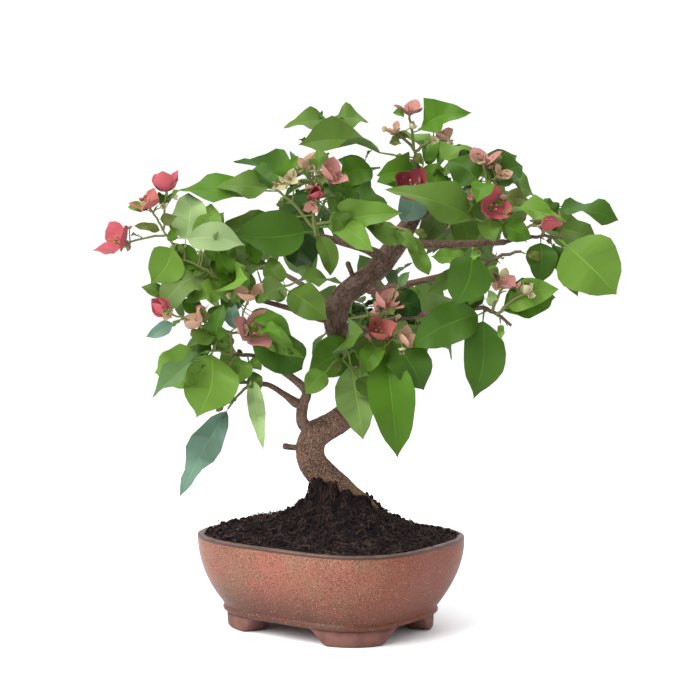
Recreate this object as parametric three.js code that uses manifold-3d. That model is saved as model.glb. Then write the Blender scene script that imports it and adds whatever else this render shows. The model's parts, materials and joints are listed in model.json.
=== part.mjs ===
// A bougainvillea grown as a bonsai, in a soft-cornered glazed pot on four feet.
// Millimetres, +Z up. The pot's long side lies along X, and the origin is on the ground under
// the middle of the whole plant.
import * as THREE from 'three';
import { mergeVertices } from 'three/addons/utils/BufferGeometryUtils.js';
import Module from 'manifold-3d';

const wasm = await Module();
wasm.setup();

// Clearance kept between neighbouring solids
const CLEAR = 0.3;

// Pot
const POT_HALF_LENGTH = 111.6;
const POT_HALF_WIDTH = 91.2;
const POT_CORNER_POWER = 3.15;
const POT_SIDES = 40;
const POT_HEIGHT = 81.5;
const GLAZE_EDGE_Z = 79;
const WAIST_Z = 20;
const WAIST_SCALE = 0.795;
const BEAD_SCALE = 0.806;
const UNDERSIDE_Z = 14;
const WALL = 6.5;
const FLOOR_Z = 23;
const FOOT_SCALE = 0.775;
const FOOT_INNER_SCALE = 0.6;
const LONG_NOTCH = { foot: 48, top: 28 };
const SHORT_NOTCH = { foot: 38, top: 16 };
const NOTCH_EASE = { foot: 6, top: 4 };

// Soil, heaped up to the foot of the trunk
const SOIL_EDGE_Z = 78.5;
const SOIL_TOP_Z = 117.7;
const SOIL_TOP_RADIUS = 26;
const SOIL_HEAP = { spread: 0.56, spreadPower: 0.65, peakPower: 3.5 };

// The tree stands turned on the pot. Its places are [right, front, up] as seen from its front.
const TREE_TURN = THREE.MathUtils.degToRad(36.4);
const TRUNK_FOOT = [10, 0];
const TRUNK = {
  path: [
    [10, 0, 118], [-4, 2, 131], [-17, 5, 149], [-13, 6, 167], [10, 1, 182], [36, -8, 206],
    [33, -5, 228], [7, 7, 259], [9, 6, 285], [43, 0, 315], [65, -2, 346], [82, -6, 376],
  ],
  radii: [14.5, 12.8, 11.6, 11, 10, 9.6, 9.8, 10, 9.8, 9.4, 7.6, 3.8],
  sides: 12,
  rings: 36,
};
const ROOT_FLARE = { reach: 0.09, width: 0.42, lobes: 5, lobeDepth: 0.16 };
const LIMB_SIDES = 6;

// Each bough starts in the limb that bears it and ends where it enters its foliage.
const BOUGHS = [
  { name: 'lower_left_bough', from: 'trunk', radii: [5, 4.2, 3.4, 2.2],
    path: [[-24, 12, 181], [-23, 14, 196], [-20, 20, 207], [-40, 37, 227], [-57, 46, 238]] },
  { name: 'lower_left_limb', from: 'lower_left_bough', radii: [3.5, 2.6, 2.2],
    path: [[-28, 15, 197], [-39, 18, 205], [-53, 24, 214], [-64, 27, 215]] },
  { name: 'left_bough', from: 'trunk', radii: [3.4, 2.6, 2],
    path: [[-8, 14, 271], [-25, 28, 277], [-57, 46, 287]] },
  { name: 'upper_left_bough', from: 'trunk', radii: [4.6, 3.4, 2.4],
    path: [[38, 10, 327], [7, 28, 337], [-11, 40, 342]] },
  { name: 'rear_left_bough', from: 'trunk', radii: [4, 3, 2.4],
    path: [[48, -16, 345], [33, -30, 354], [4, -48, 371]] },
  { name: 'top_bough', from: 'trunk', radii: [4, 3, 2.4],
    path: [[80, 4, 360], [100, 16, 371], [111, 22, 380]] },
  { name: 'upper_right_bough', from: 'trunk', radii: [4.6, 3.4, 2.5],
    path: [[70, 10, 335], [94, 20, 334], [148, 42, 336]] },
  { name: 'mid_right_bough', from: 'trunk', radii: [3.7, 2.8, 2.2],
    path: [[36, 12, 295], [60, 26, 299], [124, 60, 315]] },
  { name: 'low_right_bough', from: 'trunk', radii: [3.6, 2.8, 2],
    path: [[22, 16, 258], [60, 40, 272], [127, 68, 282]] },
  { name: 'back_left_bough', from: 'trunk', radii: [3.6, 2.8, 2],
    path: [[-4, -16, 283], [-24, -46, 297], [-50, -76, 311]] },
  { name: 'back_right_bough', from: 'trunk', radii: [3.8, 2.9, 2],
    path: [[58, -22, 331], [76, -48, 336], [95, -76, 342]] },
  { name: 'back_bough', from: 'trunk', radii: [3.6, 2.8, 2],
    path: [[22, -20, 247], [34, -44, 252], [42, -70, 259]] },
];

// Short dead ends left on the trunk by pruning: where, bearing, climb, length and radius
const STUBS = [
  { at: [-15, 6, 153], bearing: -82, climb: 14, length: 27, radius: 3.1 },
  { at: [22, 1, 299], bearing: -30, climb: 55, length: 24, radius: 2.6 },
];
const STUB_TAPER = 0.7;

// Foliage. Bearings turn from the front: -90 is left, 90 is right and 180 is the back.
const LEAF = { stalk: 0.14, halfWidth: 0.33, arch: 0.09, fold: 0.07, thickness: 0.02, least: 1.1,
  stalkRoot: 0.3, stalkEnd: 0.75 };
// The leaf's outline: how far along the blade its base, its shoulder and its crest lie, and their shares of
// the half width and of the arch
const LEAF_BASE = { along: 0.2, width: 0.92, arch: 0.55 };
const LEAF_SHOULDER = { along: 0.56, width: 0.9, arch: 0.8 };
const LEAF_CREST = 0.42;
const FILL = { length: [40, 66], station: [0.3, 0.98], lean: [0.3, 0.7], droop: [-0.1, 0.45], roll: [-25, 25] };
const BRACT = { out: 10, rise: 17, halfTurn: THREE.MathUtils.degToRad(50) };
const BLOSSOM_SHARES = [1, 0.85, 0.7, 0.55, 0.4];
const BLOSSOM_LIGHT = 0.5;
const BLOSSOM_UP = 0.6;
const CALYX = { top: 0.6, depth: 3 };
const TWIG_RADII = [1.9, 1.5, 1.2, 1];
const TWIG_RISE = 0.06;
const FUSE_TOLERANCE = 0.06;
const GOLDEN_ANGLE = THREE.MathUtils.degToRad(137.5);
// Turns that a leaf tries until it is clear: round its shoot, or, where it shows, nearer and further
const TRY_TURNS = [0, 14, -14, 28, -28, 45, -45, 76, -76, 114, -114, 160];
const DEPTH_TURNS = [0, 9, -9, 18, -18, 28, -28, 40, -40];
const CROWN = { centre: [28, -5, 292], reach: [218, 185, 168] };
const LIGHT = { up: 0.5, front: 0.75, out: 0.3 };

// A shoot: the shoot that bears it, how far along, its bearing, climb and length, its leaf count
// and the relative size of the blossom that ends it
const shoot = (on, station, bearing, climb, length, leaves, blossom = 0) => (
  { on, station, bearing, climb, length, leaves, blossom });
// A leaf that shows by itself: its shoot, how far along, its bearing, droop, length and relative width,
// how far it faces the front instead of the sky, and its stalk's share of the length
const leaf = (on, station, bearing, droop, length, width, face, stalk = LEAF.stalk) => (
  { on, station, bearing, droop, length, width, face, stalk });

const FOLIAGE = [
  { name: 'left_tip_foliage', from: 'left_bough',
    shoots: [
      shoot(-1, 0, -71, 24, 34, 2), shoot(0, 1, -78, 29, 43, 1), shoot(1, 1, -74, 59, 29, 0),
      shoot(2, 0.75, -76, -12, 37, 0, 1.4), shoot(2, 1, -59, 57, 21, 0, 1),
      shoot(2, 0.95, 148, 82, 32, 0, 1.15), shoot(0, 0.1, 68, 21, 32, 0),
      shoot(0, 0.9, -158, 63, 21, 1), shoot(0, 0.9, -86, -14, 50, 1),
    ],
    leaves: [
      leaf(2, 0.36, -72, 56, 36, 1.41, 1, 0.05), leaf(1, 0.48, -106, -19, 38, 1.16, 0.9),
      leaf(2, 0.47, -10, -70, 12, 1.34, 0.8), leaf(2, 0.92, -80, -11, 25, 0.55, 0.8),
      leaf(4, 0.39, 83, -11, 17, 1.05, 0.8), leaf(1, 0.91, 175, -75, 61, 1.05, 1, 0.3),
      leaf(2, 0.69, 70, 5, 64, 0.81, 0.8, 0.25), leaf(1, 0.61, 141, -73, 54, 1.03, 0.9, 0.34),
      leaf(0, 0.61, -58, -54, 38, 1, 0.9), leaf(0, 0.85, -59, 17, 45, 0.75, 0.8),
      leaf(0, 0.50, -61, 48, 25, 1.45, 0.8), leaf(8, 0.99, -76, -24, 27, 0.78, 0.8),
      leaf(8, 0.94, 90, -33, 35, 0.89, 0.7), leaf(8, 0.76, 49, 42, 33, 0.8, 0.8),
      leaf(6, 0.84, -122, -58, 28, 1.15, 0.8), leaf(6, 0.97, -68, 23, 29, 1.45, 0.7),
      leaf(6, 0.76, 78, 36, 48, 1.05, 0.9), leaf(6, 0.66, 96, -6, 55, 0.87, 0.2),
      leaf(7, 0.78, 97, -5, 35, 0.96, 0.8), leaf(7, 0.49, 83, 34, 31, 1.15, 0.9),
    ] },
  { name: 'left_low_foliage', from: 'lower_left_bough',
    shoots: [
      shoot(-1, 0, -57, 7, 30, 0), shoot(0, 1, 4, 60, 24, 0), shoot(1, 0.95, -71, 13, 27, 0, 0.9),
      shoot(2, 0.95, -72, 19, 29, 0, 1), shoot(1, 0.9, 50, -2, 24, 0, 1.3),
      shoot(4, 0.4, 56, 71, 28, 0, 1), shoot(0, 0.95, -52, 11, 25, 1),
    ],
    leaves: [
      leaf(6, 0.79, -48, 72, 57, 1.32, 1, 0.06), leaf(6, 0.99, -90, 22, 51, 1.28, 0.9),
      leaf(6, 0.89, -65, 33, 62, 0.49, 0.5), leaf(6, 0.68, -73, -10, 27, 1.45, 0.7),
      leaf(1, 0.10, -90, -60, 21, 1.45, 0.8), leaf(0, 0.78, 12, 76, 25, 1.45, 0.8),
      leaf(4, 0.25, 3, -81, 24, 0.95, 0.8), leaf(3, 0.51, -79, 25, 35, 0.72, 0.8, 0.3),
      leaf(5, 0.59, 99, 37, 65, 0.49, 0.8), leaf(5, 0.71, 78, 29, 44, 0.66, 0.8),
      leaf(4, 0.68, 98, 34, 67, 0.9, 0.9), leaf(0, 0.35, 57, 48, 16, 1.08, 0.8),
      leaf(0, 0.46, 54, 78, 81, 0.35, 0.7, 0.24),
    ] },
  { name: 'hanging_left_foliage', from: 'lower_left_limb',
    shoots: [
      shoot(-1, 0, -73, 4, 18, 1), shoot(0, 0.2, -53, -42, 31, 0),
    ],
    leaves: [
      leaf(1, 0.99, -77, 60, 86, 0.47, 0.8, 0.03),
    ] },
  { name: 'back_left_foliage', from: 'back_left_bough',
    shoots: [
      shoot(-1, 0, -76, -4, 66, 5), shoot(0, 0.2, -144, 23, 64, 4), shoot(0, 0.1, 176, 31, 65, 5),
      shoot(0, 0.6, -135, 15, 64, 4),
    ],
    leaves: [] },
  { name: 'upper_left_foliage', from: 'upper_left_bough',
    shoots: [
      shoot(-1, 0, -15, 69, 58, 0, 0.9), shoot(0, 0.8, 47, 7, 21, 0, 1),
      shoot(0, 0.75, -60, -2, 22, 0, 0.8), shoot(0, 0.5, 6, -1, 24, 0, 0.85),
      shoot(0, 0.06, -82, 45, 50, 1), shoot(0, 0.14, 71, -4, 82, 0),
    ],
    leaves: [
      leaf(0, 0.04, -80, 2, 69, 1, 0.75), leaf(0, 0.09, 76, -10, 75, 0.69, 0.8),
      leaf(5, 0.15, 77, 32, 53, 0.74, 0.8), leaf(5, 0.82, 75, 46, 34, 0.61, 0.8),
      leaf(5, 0.41, 77, 20, 64, 0.35, 0.7), leaf(5, 0.98, 79, 61, 45, 0.59, 0.8),
      leaf(4, 0.95, -81, -5, 50, 0.8, 0.6), leaf(4, 0.89, -97, -1, 86, 0.59, 0.6, 0.2),
      leaf(4, 0.83, -96, -34, 43, 0.85, 0.4), leaf(0, 0.15, -117, 63, 49, 1.23, 0.9, 0.24),
      leaf(0, 0.21, 107, 74, 50, 0.72, 0.8, 0.3), leaf(0, 0.26, -97, 6, 84, 0.5, 0.7, 0.4),
      leaf(0, 0.31, -58, -30, 13, 1.39, 0.8), leaf(0, 0.55, 86, -4, 32, 0.62, 0.8),
    ] },
  { name: 'top_left_foliage', from: 'rear_left_bough',
    shoots: [
      shoot(-1, 0, -41, 64, 55, 1), shoot(0, 1, 74, 59, 28, 0), shoot(0, 0.35, 88, 13, 47, 1),
      shoot(0, 0.3, -148, 2, 56, 5), shoot(0, 0.1, -167, -14, 67, 5),
    ],
    leaves: [
      leaf(1, 0.88, -79, 5, 42, 0.8, 0.5, 0.04), leaf(1, 0.52, 87, -10, 39, 1.16, 0.5, 0.12),
      leaf(2, 0.96, -74, 24, 40, 1.25, 0.9), leaf(2, 0.84, -101, -14, 32, 0.82, 0.8),
      leaf(2, 0.63, -67, 63, 34, 0.73, 0.8),
    ] },
  { name: 'top_foliage', from: 'trunk',
    shoots: [
      shoot(-1, 0, -45, 71, 43, 1), shoot(0, 1, -25, 73, 30, 0, 0.9),
      shoot(0, 0.95, -57, 37, 24, 0, 0.55), shoot(0, 0.9, 59, 24, 27, 0, 0.8),
      shoot(0, 0.3, -14, -13, 39, 0, 1.2), shoot(0, 0.2, 158, 16, 52, 5),
      shoot(0, 0.14, 123, -32, 42, 0),
    ],
    leaves: [
      leaf(1, 0.39, 78, -17, 59, 0.79, 0.7), leaf(0, 0.75, -96, -8, 104, 0.56, 0.5, 0.3),
      leaf(0, 0.56, 74, 24, 31, 1, 0.8), leaf(0, 0.66, -77, 26, 40, 1.13, 0.8),
      leaf(1, 0.25, -84, -5, 18, 0.6, 0.8), leaf(0, 0.92, 55, 50, 16, 0.96, 0.8),
      leaf(4, 0.42, -82, 69, 38, 1.45, 0.8, 0.3), leaf(6, 0.64, -79, 59, 42, 0.96, 0.8),
      leaf(6, 0.99, 64, 75, 35, 1.25, 0.9),
    ] },
  { name: 'upper_right_foliage', from: 'top_bough',
    shoots: [
      shoot(-1, 0, 62, 10, 26, 0), shoot(0, 1, -43, 73, 18, 0, 1.05), shoot(0, 1, 43, 25, 15, 0, 0.65),
      shoot(0, 0.2, 30, -27, 41, 0, 1.2), shoot(3, 0.9, 19, -72, 18, 0), shoot(0, 0.2, 165, 7, 67, 5),
    ],
    leaves: [
      leaf(0, 0.82, -109, -36, 38, 1.45, 0.8), leaf(0, 0.96, 104, -28, 38, 1.27, 0.8),
      leaf(4, 0.92, -80, -21, 92, 0.58, 0.6), leaf(4, 0.38, 67, 6, 68, 0.4, 0.6, 0.2),
      leaf(4, 0.71, 84, 24, 39, 1.12, 0.9, 0.3), leaf(4, 0.55, 24, 64, 25, 1.4, 0.9),
      leaf(3, 0.76, 96, 1, 42, 0.62, 0.7, 0.25),
    ] },
  { name: 'right_foliage', from: 'upper_right_bough',
    shoots: [
      shoot(-1, 0, 69, 4, 49, 0), shoot(0, 0.65, 45, 62, 7, 0, 1.2), shoot(0, 0.97, -179, 61, 31, 0),
      shoot(0, 0.15, 155, 10, 77, 4),
    ],
    leaves: [
      leaf(0, 0.93, 81, 44, 68, 1.41, 1), leaf(0, 0.63, -10, 81, 40, 1.17, 0.9),
      leaf(0, 0.74, 106, 60, 59, 0.56, 0.8), leaf(2, 0.96, 79, 6, 51, 0.76, 0.5, 0.05),
      leaf(2, 0.73, -71, -43, 17, 1.13, 0.6, 0.05),
    ] },
  { name: 'mid_right_foliage', from: 'mid_right_bough',
    shoots: [
      shoot(-1, 0, 71, 20, 39, 0), shoot(0, 0.2, -32, 25, 28, 0),
    ],
    leaves: [
      leaf(1, 0.86, -58, 67, 48, 1.39, 1), leaf(0, 0.12, 70, 54, 20, 1.31, 0.8),
      leaf(0, 0.19, -107, -6, 48, 0.66, 0.8, 0.3), leaf(0, 0.28, -108, 26, 59, 0.56, 0.8, 0.3),
    ] },
  { name: 'low_right_foliage', from: 'low_right_bough',
    shoots: [
      shoot(-1, 0, 67, -30, 29, 1), shoot(0, 0.35, 44, 61, 24, 0, 0.8),
      shoot(0, 0.5, 62, 36, 29, 0, 0.65),
    ],
    leaves: [
      leaf(0, 0.22, -83, 25, 70, 0.88, 0.9), leaf(0, 0.07, -47, 81, 76, 0.83, 1),
      leaf(2, 0.14, 73, -20, 51, 0.83, 0.85), leaf(0, 0.34, -114, -36, 37, 1, 0.8, 0.3),
      leaf(1, 0.11, -45, -69, 16, 1.1, 0.8),
    ] },
  { name: 'centre_foliage', from: 'trunk', root: [26, 0, 240],
    shoots: [
      shoot(-1, 0, 17, 19, 58, 1, 1.15), shoot(0, 0.8, 33, 52, 32, 0, 1.1),
      shoot(0, 0.75, 48, -4, 34, 0, 0.85), shoot(0, 0.2, -40, -20, 47, 1),
      shoot(1, 0.9, 116, 55, 25, 0),
    ],
    leaves: [
      leaf(3, 0.40, 73, 80, 76, 0.82, 1), leaf(2, 0.37, 55, 82, 103, 0.68, 0.95),
      leaf(0, 0.28, -83, 26, 53, 1.2, 0.9), leaf(3, 0.99, -73, 46, 29, 1.22, 0.9),
      leaf(2, 0.59, 106, 56, 52, 1.2, 0.9), leaf(0, 0.61, 99, 49, 39, 1.14, 0.8),
      leaf(4, 0.19, 111, 12, 29, 1.45, 1), leaf(0, 0.23, 122, -51, 12, 1.45, 0.8),
      leaf(4, 0.80, 79, -54, 18, 0.79, 0.9),
    ] },
  { name: 'back_foliage', from: 'back_bough',
    shoots: [
      shoot(-1, 0, 174, 15, 83, 6), shoot(0, 0.3, 126, -9, 61, 6), shoot(0, 0.3, -135, -15, 67, 6),
      shoot(0, 0.6, 169, -40, 63, 5),
    ],
    leaves: [] },
  { name: 'back_right_foliage', from: 'back_right_bough',
    shoots: [
      shoot(-1, 0, 135, 6, 91, 6), shoot(0, 0.2, 163, 28, 61, 5), shoot(0, 0.5, 108, 4, 40, 5),
      shoot(0, 0.4, 165, -10, 51, 5, 1),
    ],
    leaves: [] },
];

// Materials
const material = (color, roughness) => new THREE.MeshStandardMaterial({ color, roughness, metalness: 0 });
const GLAZE = material(0xb0684f, 0.35);
const SOIL = material(0x2b221d, 0.95);
const BARK = material(0x786455, 0.85);
const LEAVES = material(0x6f9440, 0.5);

// Meshes and solids

const { degToRad, lerp, smoothstep } = THREE.MathUtils;
const UP = new THREE.Vector3(0, 0, 1);
const FRONT = new THREE.Vector3(0, -1, 0);
const place = ([right, front, up]) => new THREE.Vector3(right, -front, up);

function heading(bearing, climb) {
  const b = degToRad(bearing);
  const c = degToRad(climb);
  return new THREE.Vector3(Math.sin(b) * Math.cos(c), -Math.cos(b) * Math.cos(c), Math.sin(c));
}

function geometryFrom(points, triangles) {
  const geometry = new THREE.BufferGeometry().setFromPoints(points);
  geometry.setIndex(triangles.flat());
  return geometry;
}

function solidOf(geometry) {
  const bare = geometry.clone();
  bare.deleteAttribute('normal');
  bare.deleteAttribute('uv');
  const merged = mergeVertices(bare, 1e-4);
  return new wasm.Manifold(new wasm.Mesh({
    numProp: 3,
    vertProperties: new Float32Array(merged.attributes.position.array),
    triVerts: new Uint32Array(merged.index.array),
  }));
}

function geometryOf(solid) {
  const mesh = solid.getMesh();
  const geometry = new THREE.BufferGeometry();
  geometry.setAttribute('position', new THREE.BufferAttribute(new Float32Array(mesh.vertProperties), 3));
  geometry.setIndex(new THREE.BufferAttribute(new Uint32Array(mesh.triVerts), 1));
  geometry.computeVertexNormals();
  return geometry;
}

// A closed skin over rings of equal count, each running counterclockwise about the way ahead
function loft(rings) {
  const count = rings[0].length;
  const points = rings.flat();
  const triangles = [];
  for (let i = 0; i + 1 < rings.length; i++) {
    for (let j = 0; j < count; j++) {
      const a = i * count + j;
      const b = i * count + ((j + 1) % count);
      triangles.push([a, b, b + count], [a, b + count, a + count]);
    }
  }
  const last = (rings.length - 1) * count;
  for (let j = 1; j + 1 < count; j++) {
    triangles.push([0, j + 1, j], [last, last + j, last + j + 1]);
  }
  return geometryFrom(points, triangles);
}

// The biggest body of a cut solid
function mainBody(solid) {
  const bodies = solid.decompose();
  bodies.sort((a, b) => b.volume() - a.volume());
  return bodies[0];
}

// Pot and soil

// The soft-cornered outline at a height: a circle when the power is 2, squarer as it rises
function outline(halfLength, halfWidth, z, power = POT_CORNER_POWER, centre = [0, 0]) {
  const ring = [];
  for (let j = 0; j < POT_SIDES; j++) {
    const turn = (2 * Math.PI * (j + 0.5)) / POT_SIDES;
    const c = Math.cos(turn);
    const s = Math.sin(turn);
    const reach = (Math.abs(c) ** power + Math.abs(s) ** power) ** (-1 / power);
    ring.push(new THREE.Vector3(centre[0] + halfLength * reach * c, centre[1] + halfWidth * reach * s, z));
  }
  return ring;
}

const bellyScale = (z) => 1 - (1 - WAIST_SCALE) * ((GLAZE_EDGE_Z - z) / (GLAZE_EDGE_Z - WAIST_Z)) ** 2;

function ringAt(z, scale, inset = 0) {
  return outline(POT_HALF_LENGTH * scale - inset, POT_HALF_WIDTH * scale - inset, z);
}

const OUTER_LEVELS = [28, 37, 47, 57, 68, GLAZE_EDGE_Z];
const INNER_LEVELS = [GLAZE_EDGE_Z - 4, 58, 42, 30, FLOOR_Z];
const LIP_ROUND = 1;

function footNotch(notch, alongX) {
  const top = UNDERSIDE_Z + 0.2;
  const reach = 2 * POT_HALF_LENGTH;
  const shape = new THREE.Shape();
  shape.moveTo(-notch.foot, -1);
  shape.bezierCurveTo(-notch.top - NOTCH_EASE.top, -1, -notch.foot + NOTCH_EASE.foot, top, -notch.top, top);
  shape.lineTo(notch.top, top);
  shape.bezierCurveTo(notch.foot - NOTCH_EASE.foot, top, notch.top + NOTCH_EASE.top, -1, notch.foot, -1);
  shape.closePath();
  const geometry = new THREE.ExtrudeGeometry(shape, {
    depth: 2 * reach, bevelEnabled: false, curveSegments: 5,
  });
  geometry.translate(0, 0, -reach);
  geometry.rotateX(Math.PI / 2);
  if (alongX) geometry.rotateZ(Math.PI / 2);
  return solidOf(geometry);
}

function makePot() {
  const rings = [
    ringAt(UNDERSIDE_Z, FOOT_SCALE + 0.012),
    ringAt(UNDERSIDE_Z + 1.2, BEAD_SCALE),
    ringAt(WAIST_Z - 2.2, BEAD_SCALE),
    ringAt(WAIST_Z, WAIST_SCALE),
  ];
  for (const z of OUTER_LEVELS) rings.push(ringAt(z, bellyScale(z)));
  rings.push(ringAt(POT_HEIGHT - 0.8 * LIP_ROUND, 1));
  rings.push(ringAt(POT_HEIGHT, 1, LIP_ROUND));
  rings.push(ringAt(POT_HEIGHT, 1, WALL - LIP_ROUND));
  for (const z of INNER_LEVELS) rings.push(ringAt(z, bellyScale(z), WALL));
  const body = solidOf(loft(rings));
  const footTop = UNDERSIDE_Z + 0.6;
  const feet = solidOf(loft([
    ringAt(0, FOOT_SCALE - 0.02), ringAt(1.5, FOOT_SCALE - 0.008), ringAt(footTop, FOOT_SCALE),
  ])).subtract(solidOf(loft([ringAt(-1, FOOT_INNER_SCALE), ringAt(footTop + 1, FOOT_INNER_SCALE)])))
    .subtract(footNotch(LONG_NOTCH, false))
    .subtract(footNotch(SHORT_NOTCH, true));
  return geometryOf(body.add(feet));
}

// The heap's height from 0 at the pot's edge to 1 at the trunk: a gentle spread, then a steep peak
function heap(f) {
  const { spread, spreadPower, peakPower } = SOIL_HEAP;
  return spread * f ** spreadPower + (1 - spread) * f ** peakPower;
}

function makeSoil() {
  const rings = [];
  for (const z of [...INNER_LEVELS].reverse()) {
    rings.push(ringAt(Math.max(z, FLOOR_Z + CLEAR), bellyScale(z), WALL + CLEAR));
  }
  rings.pop();
  rings.push(ringAt(SOIL_EDGE_Z, bellyScale(SOIL_EDGE_Z), WALL + CLEAR + 0.1));
  const foot = new THREE.Vector3(TRUNK_FOOT[0], -TRUNK_FOOT[1], 0).applyAxisAngle(UP, TREE_TURN);
  const steps = 6;
  for (let i = 1; i <= steps; i++) {
    const f = i / steps;
    rings.push(outline(
      lerp(POT_HALF_LENGTH - WALL - 2, SOIL_TOP_RADIUS, f),
      lerp(POT_HALF_WIDTH - WALL - 2, SOIL_TOP_RADIUS, f),
      lerp(SOIL_EDGE_Z, SOIL_TOP_Z, heap(f)),
      lerp(POT_CORNER_POWER, 2, f),
      [foot.x * f, foot.y * f],
    ));
  }
  return loft(rings);
}

// Limbs

// A limb's path, and its radius where t runs from 0 at its root to 1 at its tip
class Limb {
  constructor({ path, radii, sides = LIMB_SIDES, rings = 2 + 2 * path.length, flare = null }) {
    this.curve = new THREE.CatmullRomCurve3(path.map((p) => (p.isVector3 ? p : place(p))));
    Object.assign(this, { radii, sides, rings, flare });
  }

  radius(t) {
    const x = t * (this.radii.length - 1);
    const i = Math.min(Math.floor(x), this.radii.length - 2);
    return lerp(this.radii[i], this.radii[i + 1], x - i);
  }

  // The skin, grown outwards on all sides to make room for a neighbour
  skin(grow = 0) {
    const ahead = new THREE.Vector3();
    const side = new THREE.Vector3();
    const rings = [];
    for (let i = 0; i < this.rings; i++) {
      const t = i / (this.rings - 1);
      const upright = this.flare ? 1 - smoothstep(t, 0, this.flare.reach) : 0;
      const next = this.curve.getTangentAt(t).lerp(UP, upright).normalize();
      if (i === 0) side.set(0.3, -1, 0.2).projectOnPlane(next).normalize();
      else side.applyQuaternion(new THREE.Quaternion().setFromUnitVectors(ahead, next));
      ahead.copy(next);
      const across = new THREE.Vector3().crossVectors(ahead, side);
      const centre = this.curve.getPointAt(t);
      if (i === 0) centre.addScaledVector(ahead, -grow);
      if (i === this.rings - 1) centre.addScaledVector(ahead, grow);
      const ring = [];
      for (let j = 0; j < this.sides; j++) {
        const turn = (2 * Math.PI * j) / this.sides;
        const r = this.radius(t) * this.flareAt(t, turn) + grow;
        ring.push(centre.clone()
          .addScaledVector(side, r * Math.cos(turn))
          .addScaledVector(across, r * Math.sin(turn)));
      }
      rings.push(ring);
    }
    return loft(rings);
  }

  flareAt(t, turn) {
    if (!this.flare) return 1;
    const { reach, width, lobes, lobeDepth } = this.flare;
    const share = (1 - smoothstep(t, 0, reach)) ** 1.5;
    return 1 + share * (width + lobeDepth * Math.cos(lobes * turn));
  }

  nearest(point) {
    const samples = this.curve.getSpacedPoints(200);
    samples.sort((a, b) => a.distanceToSquared(point) - b.distanceToSquared(point));
    return samples[0];
  }

  tip() {
    return this.curve.getPointAt(1);
  }
}

const limbs = new Map();
const limbSolids = new Map();
const grownSolids = new Map();

function keepLimb(name, limb, solid) {
  limbs.set(name, limb);
  limbSolids.set(name, solid);
  grownSolids.set(name, solidOf(limb.skin(CLEAR)));
}

function makeLimbs() {
  const trunk = new Limb({ ...TRUNK, flare: ROOT_FLARE });
  let wood = solidOf(trunk.skin());
  for (const { at, bearing, climb, length, radius } of STUBS) {
    const root = place(at);
    const end = root.clone().addScaledVector(heading(bearing, climb), length);
    const stub = new Limb({ path: [root, end], radii: [radius, radius * STUB_TAPER], rings: 3 });
    wood = wood.add(solidOf(stub.skin()));
  }
  keepLimb('trunk', trunk, wood);
  for (const { name, from, path, radii } of BOUGHS) {
    const parent = limbs.get(from);
    const root = parent.nearest(place(path[0]));
    const limb = new Limb({ path: [root, ...path.map(place)], radii });
    keepLimb(name, limb, mainBody(solidOf(limb.skin()).subtract(grownSolids.get(from))));
  }
}

// Foliage

// Repeatable random numbers from 0 to 1
function seeded(seed) {
  let state = seed >>> 0;
  return () => {
    state = (state + 0x6d2b79f5) >>> 0;
    let t = state;
    t = Math.imul(t ^ (t >>> 15), t | 1);
    t ^= t + Math.imul(t ^ (t >>> 7), t | 61);
    return ((t ^ (t >>> 14)) >>> 0) / 4294967296;
  };
}

// The way a leaf faces: up, to the light at the front, and out from the crown's middle
function lightAt(point) {
  const centre = place(CROWN.centre);
  const reach = CROWN.reach[1];
  const frontness = smoothstep(-(point.y - centre.y), -0.35 * reach, 0.25 * reach);
  const out = point.clone().sub(centre).setZ(0).normalize();
  return UP.clone().multiplyScalar(LIGHT.up)
    .addScaledVector(FRONT, LIGHT.front * frontness)
    .addScaledVector(out, LIGHT.out)
    .normalize();
}

function inCrown(point) {
  const centre = place(CROWN.centre);
  const [rx, ry, rz] = CROWN.reach;
  const d = point.clone().sub(centre);
  return (d.x / rx) ** 2 + (d.y / ry) ** 2 + (d.z / rz) ** 2 < 1;
}

// A leaf of one closed skin: a three-sided stalk and a folded, arched blade
function leafSkin(root, along, facing, { length, width, stalk: stalkShare, roll }) {
  const up = facing.clone().projectOnPlane(along).normalize().applyAxisAngle(along, roll);
  const left = new THREE.Vector3().crossVectors(up, along);
  const stalk = stalkShare * length;
  const blade = length - stalk;
  const at = (f, side, lift) => root.clone()
    .addScaledVector(along, stalk + f * blade)
    .addScaledVector(left, side)
    .addScaledVector(up, lift);
  const half = Math.max(LEAF.thickness * blade, LEAF.least) / 2;
  const w = LEAF.halfWidth * blade * width;
  const arch = LEAF.arch * blade;
  const fold = LEAF.fold * blade;
  const margin = (spot, side) => at(spot.along, side * w * spot.width, spot.arch * arch + fold);
  const stalkRing = (f, r) => [at(f, 0, r), at(f, r, -r * 0.6), at(f, -r, -r * 0.6)];
  const points = [
    ...stalkRing(-stalk / blade, LEAF.stalkRoot), ...stalkRing(0, LEAF.stalkEnd),
    margin(LEAF_BASE, -1), margin(LEAF_SHOULDER, -1), at(1, 0, 0),
    margin(LEAF_SHOULDER, 1), margin(LEAF_BASE, 1),
    at(LEAF_CREST, 0, arch + half), at(LEAF_CREST, 0, arch - half),
  ];
  const rim = [5, 6, 7, 8, 9, 10, 4];
  const triangles = [[0, 1, 2], [11, 4, 3], [11, 3, 5], [12, 5, 4]];
  for (let i = 0; i + 1 < rim.length; i++) triangles.push([11, rim[i], rim[i + 1]], [12, rim[i + 1], rim[i]]);
  for (let j = 0; j < 3; j++) {
    const k = (j + 1) % 3;
    triangles.push([k, j, j + 3], [k, j + 3, k + 3]);
  }
  return geometryFrom(points, triangles);
}

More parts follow.
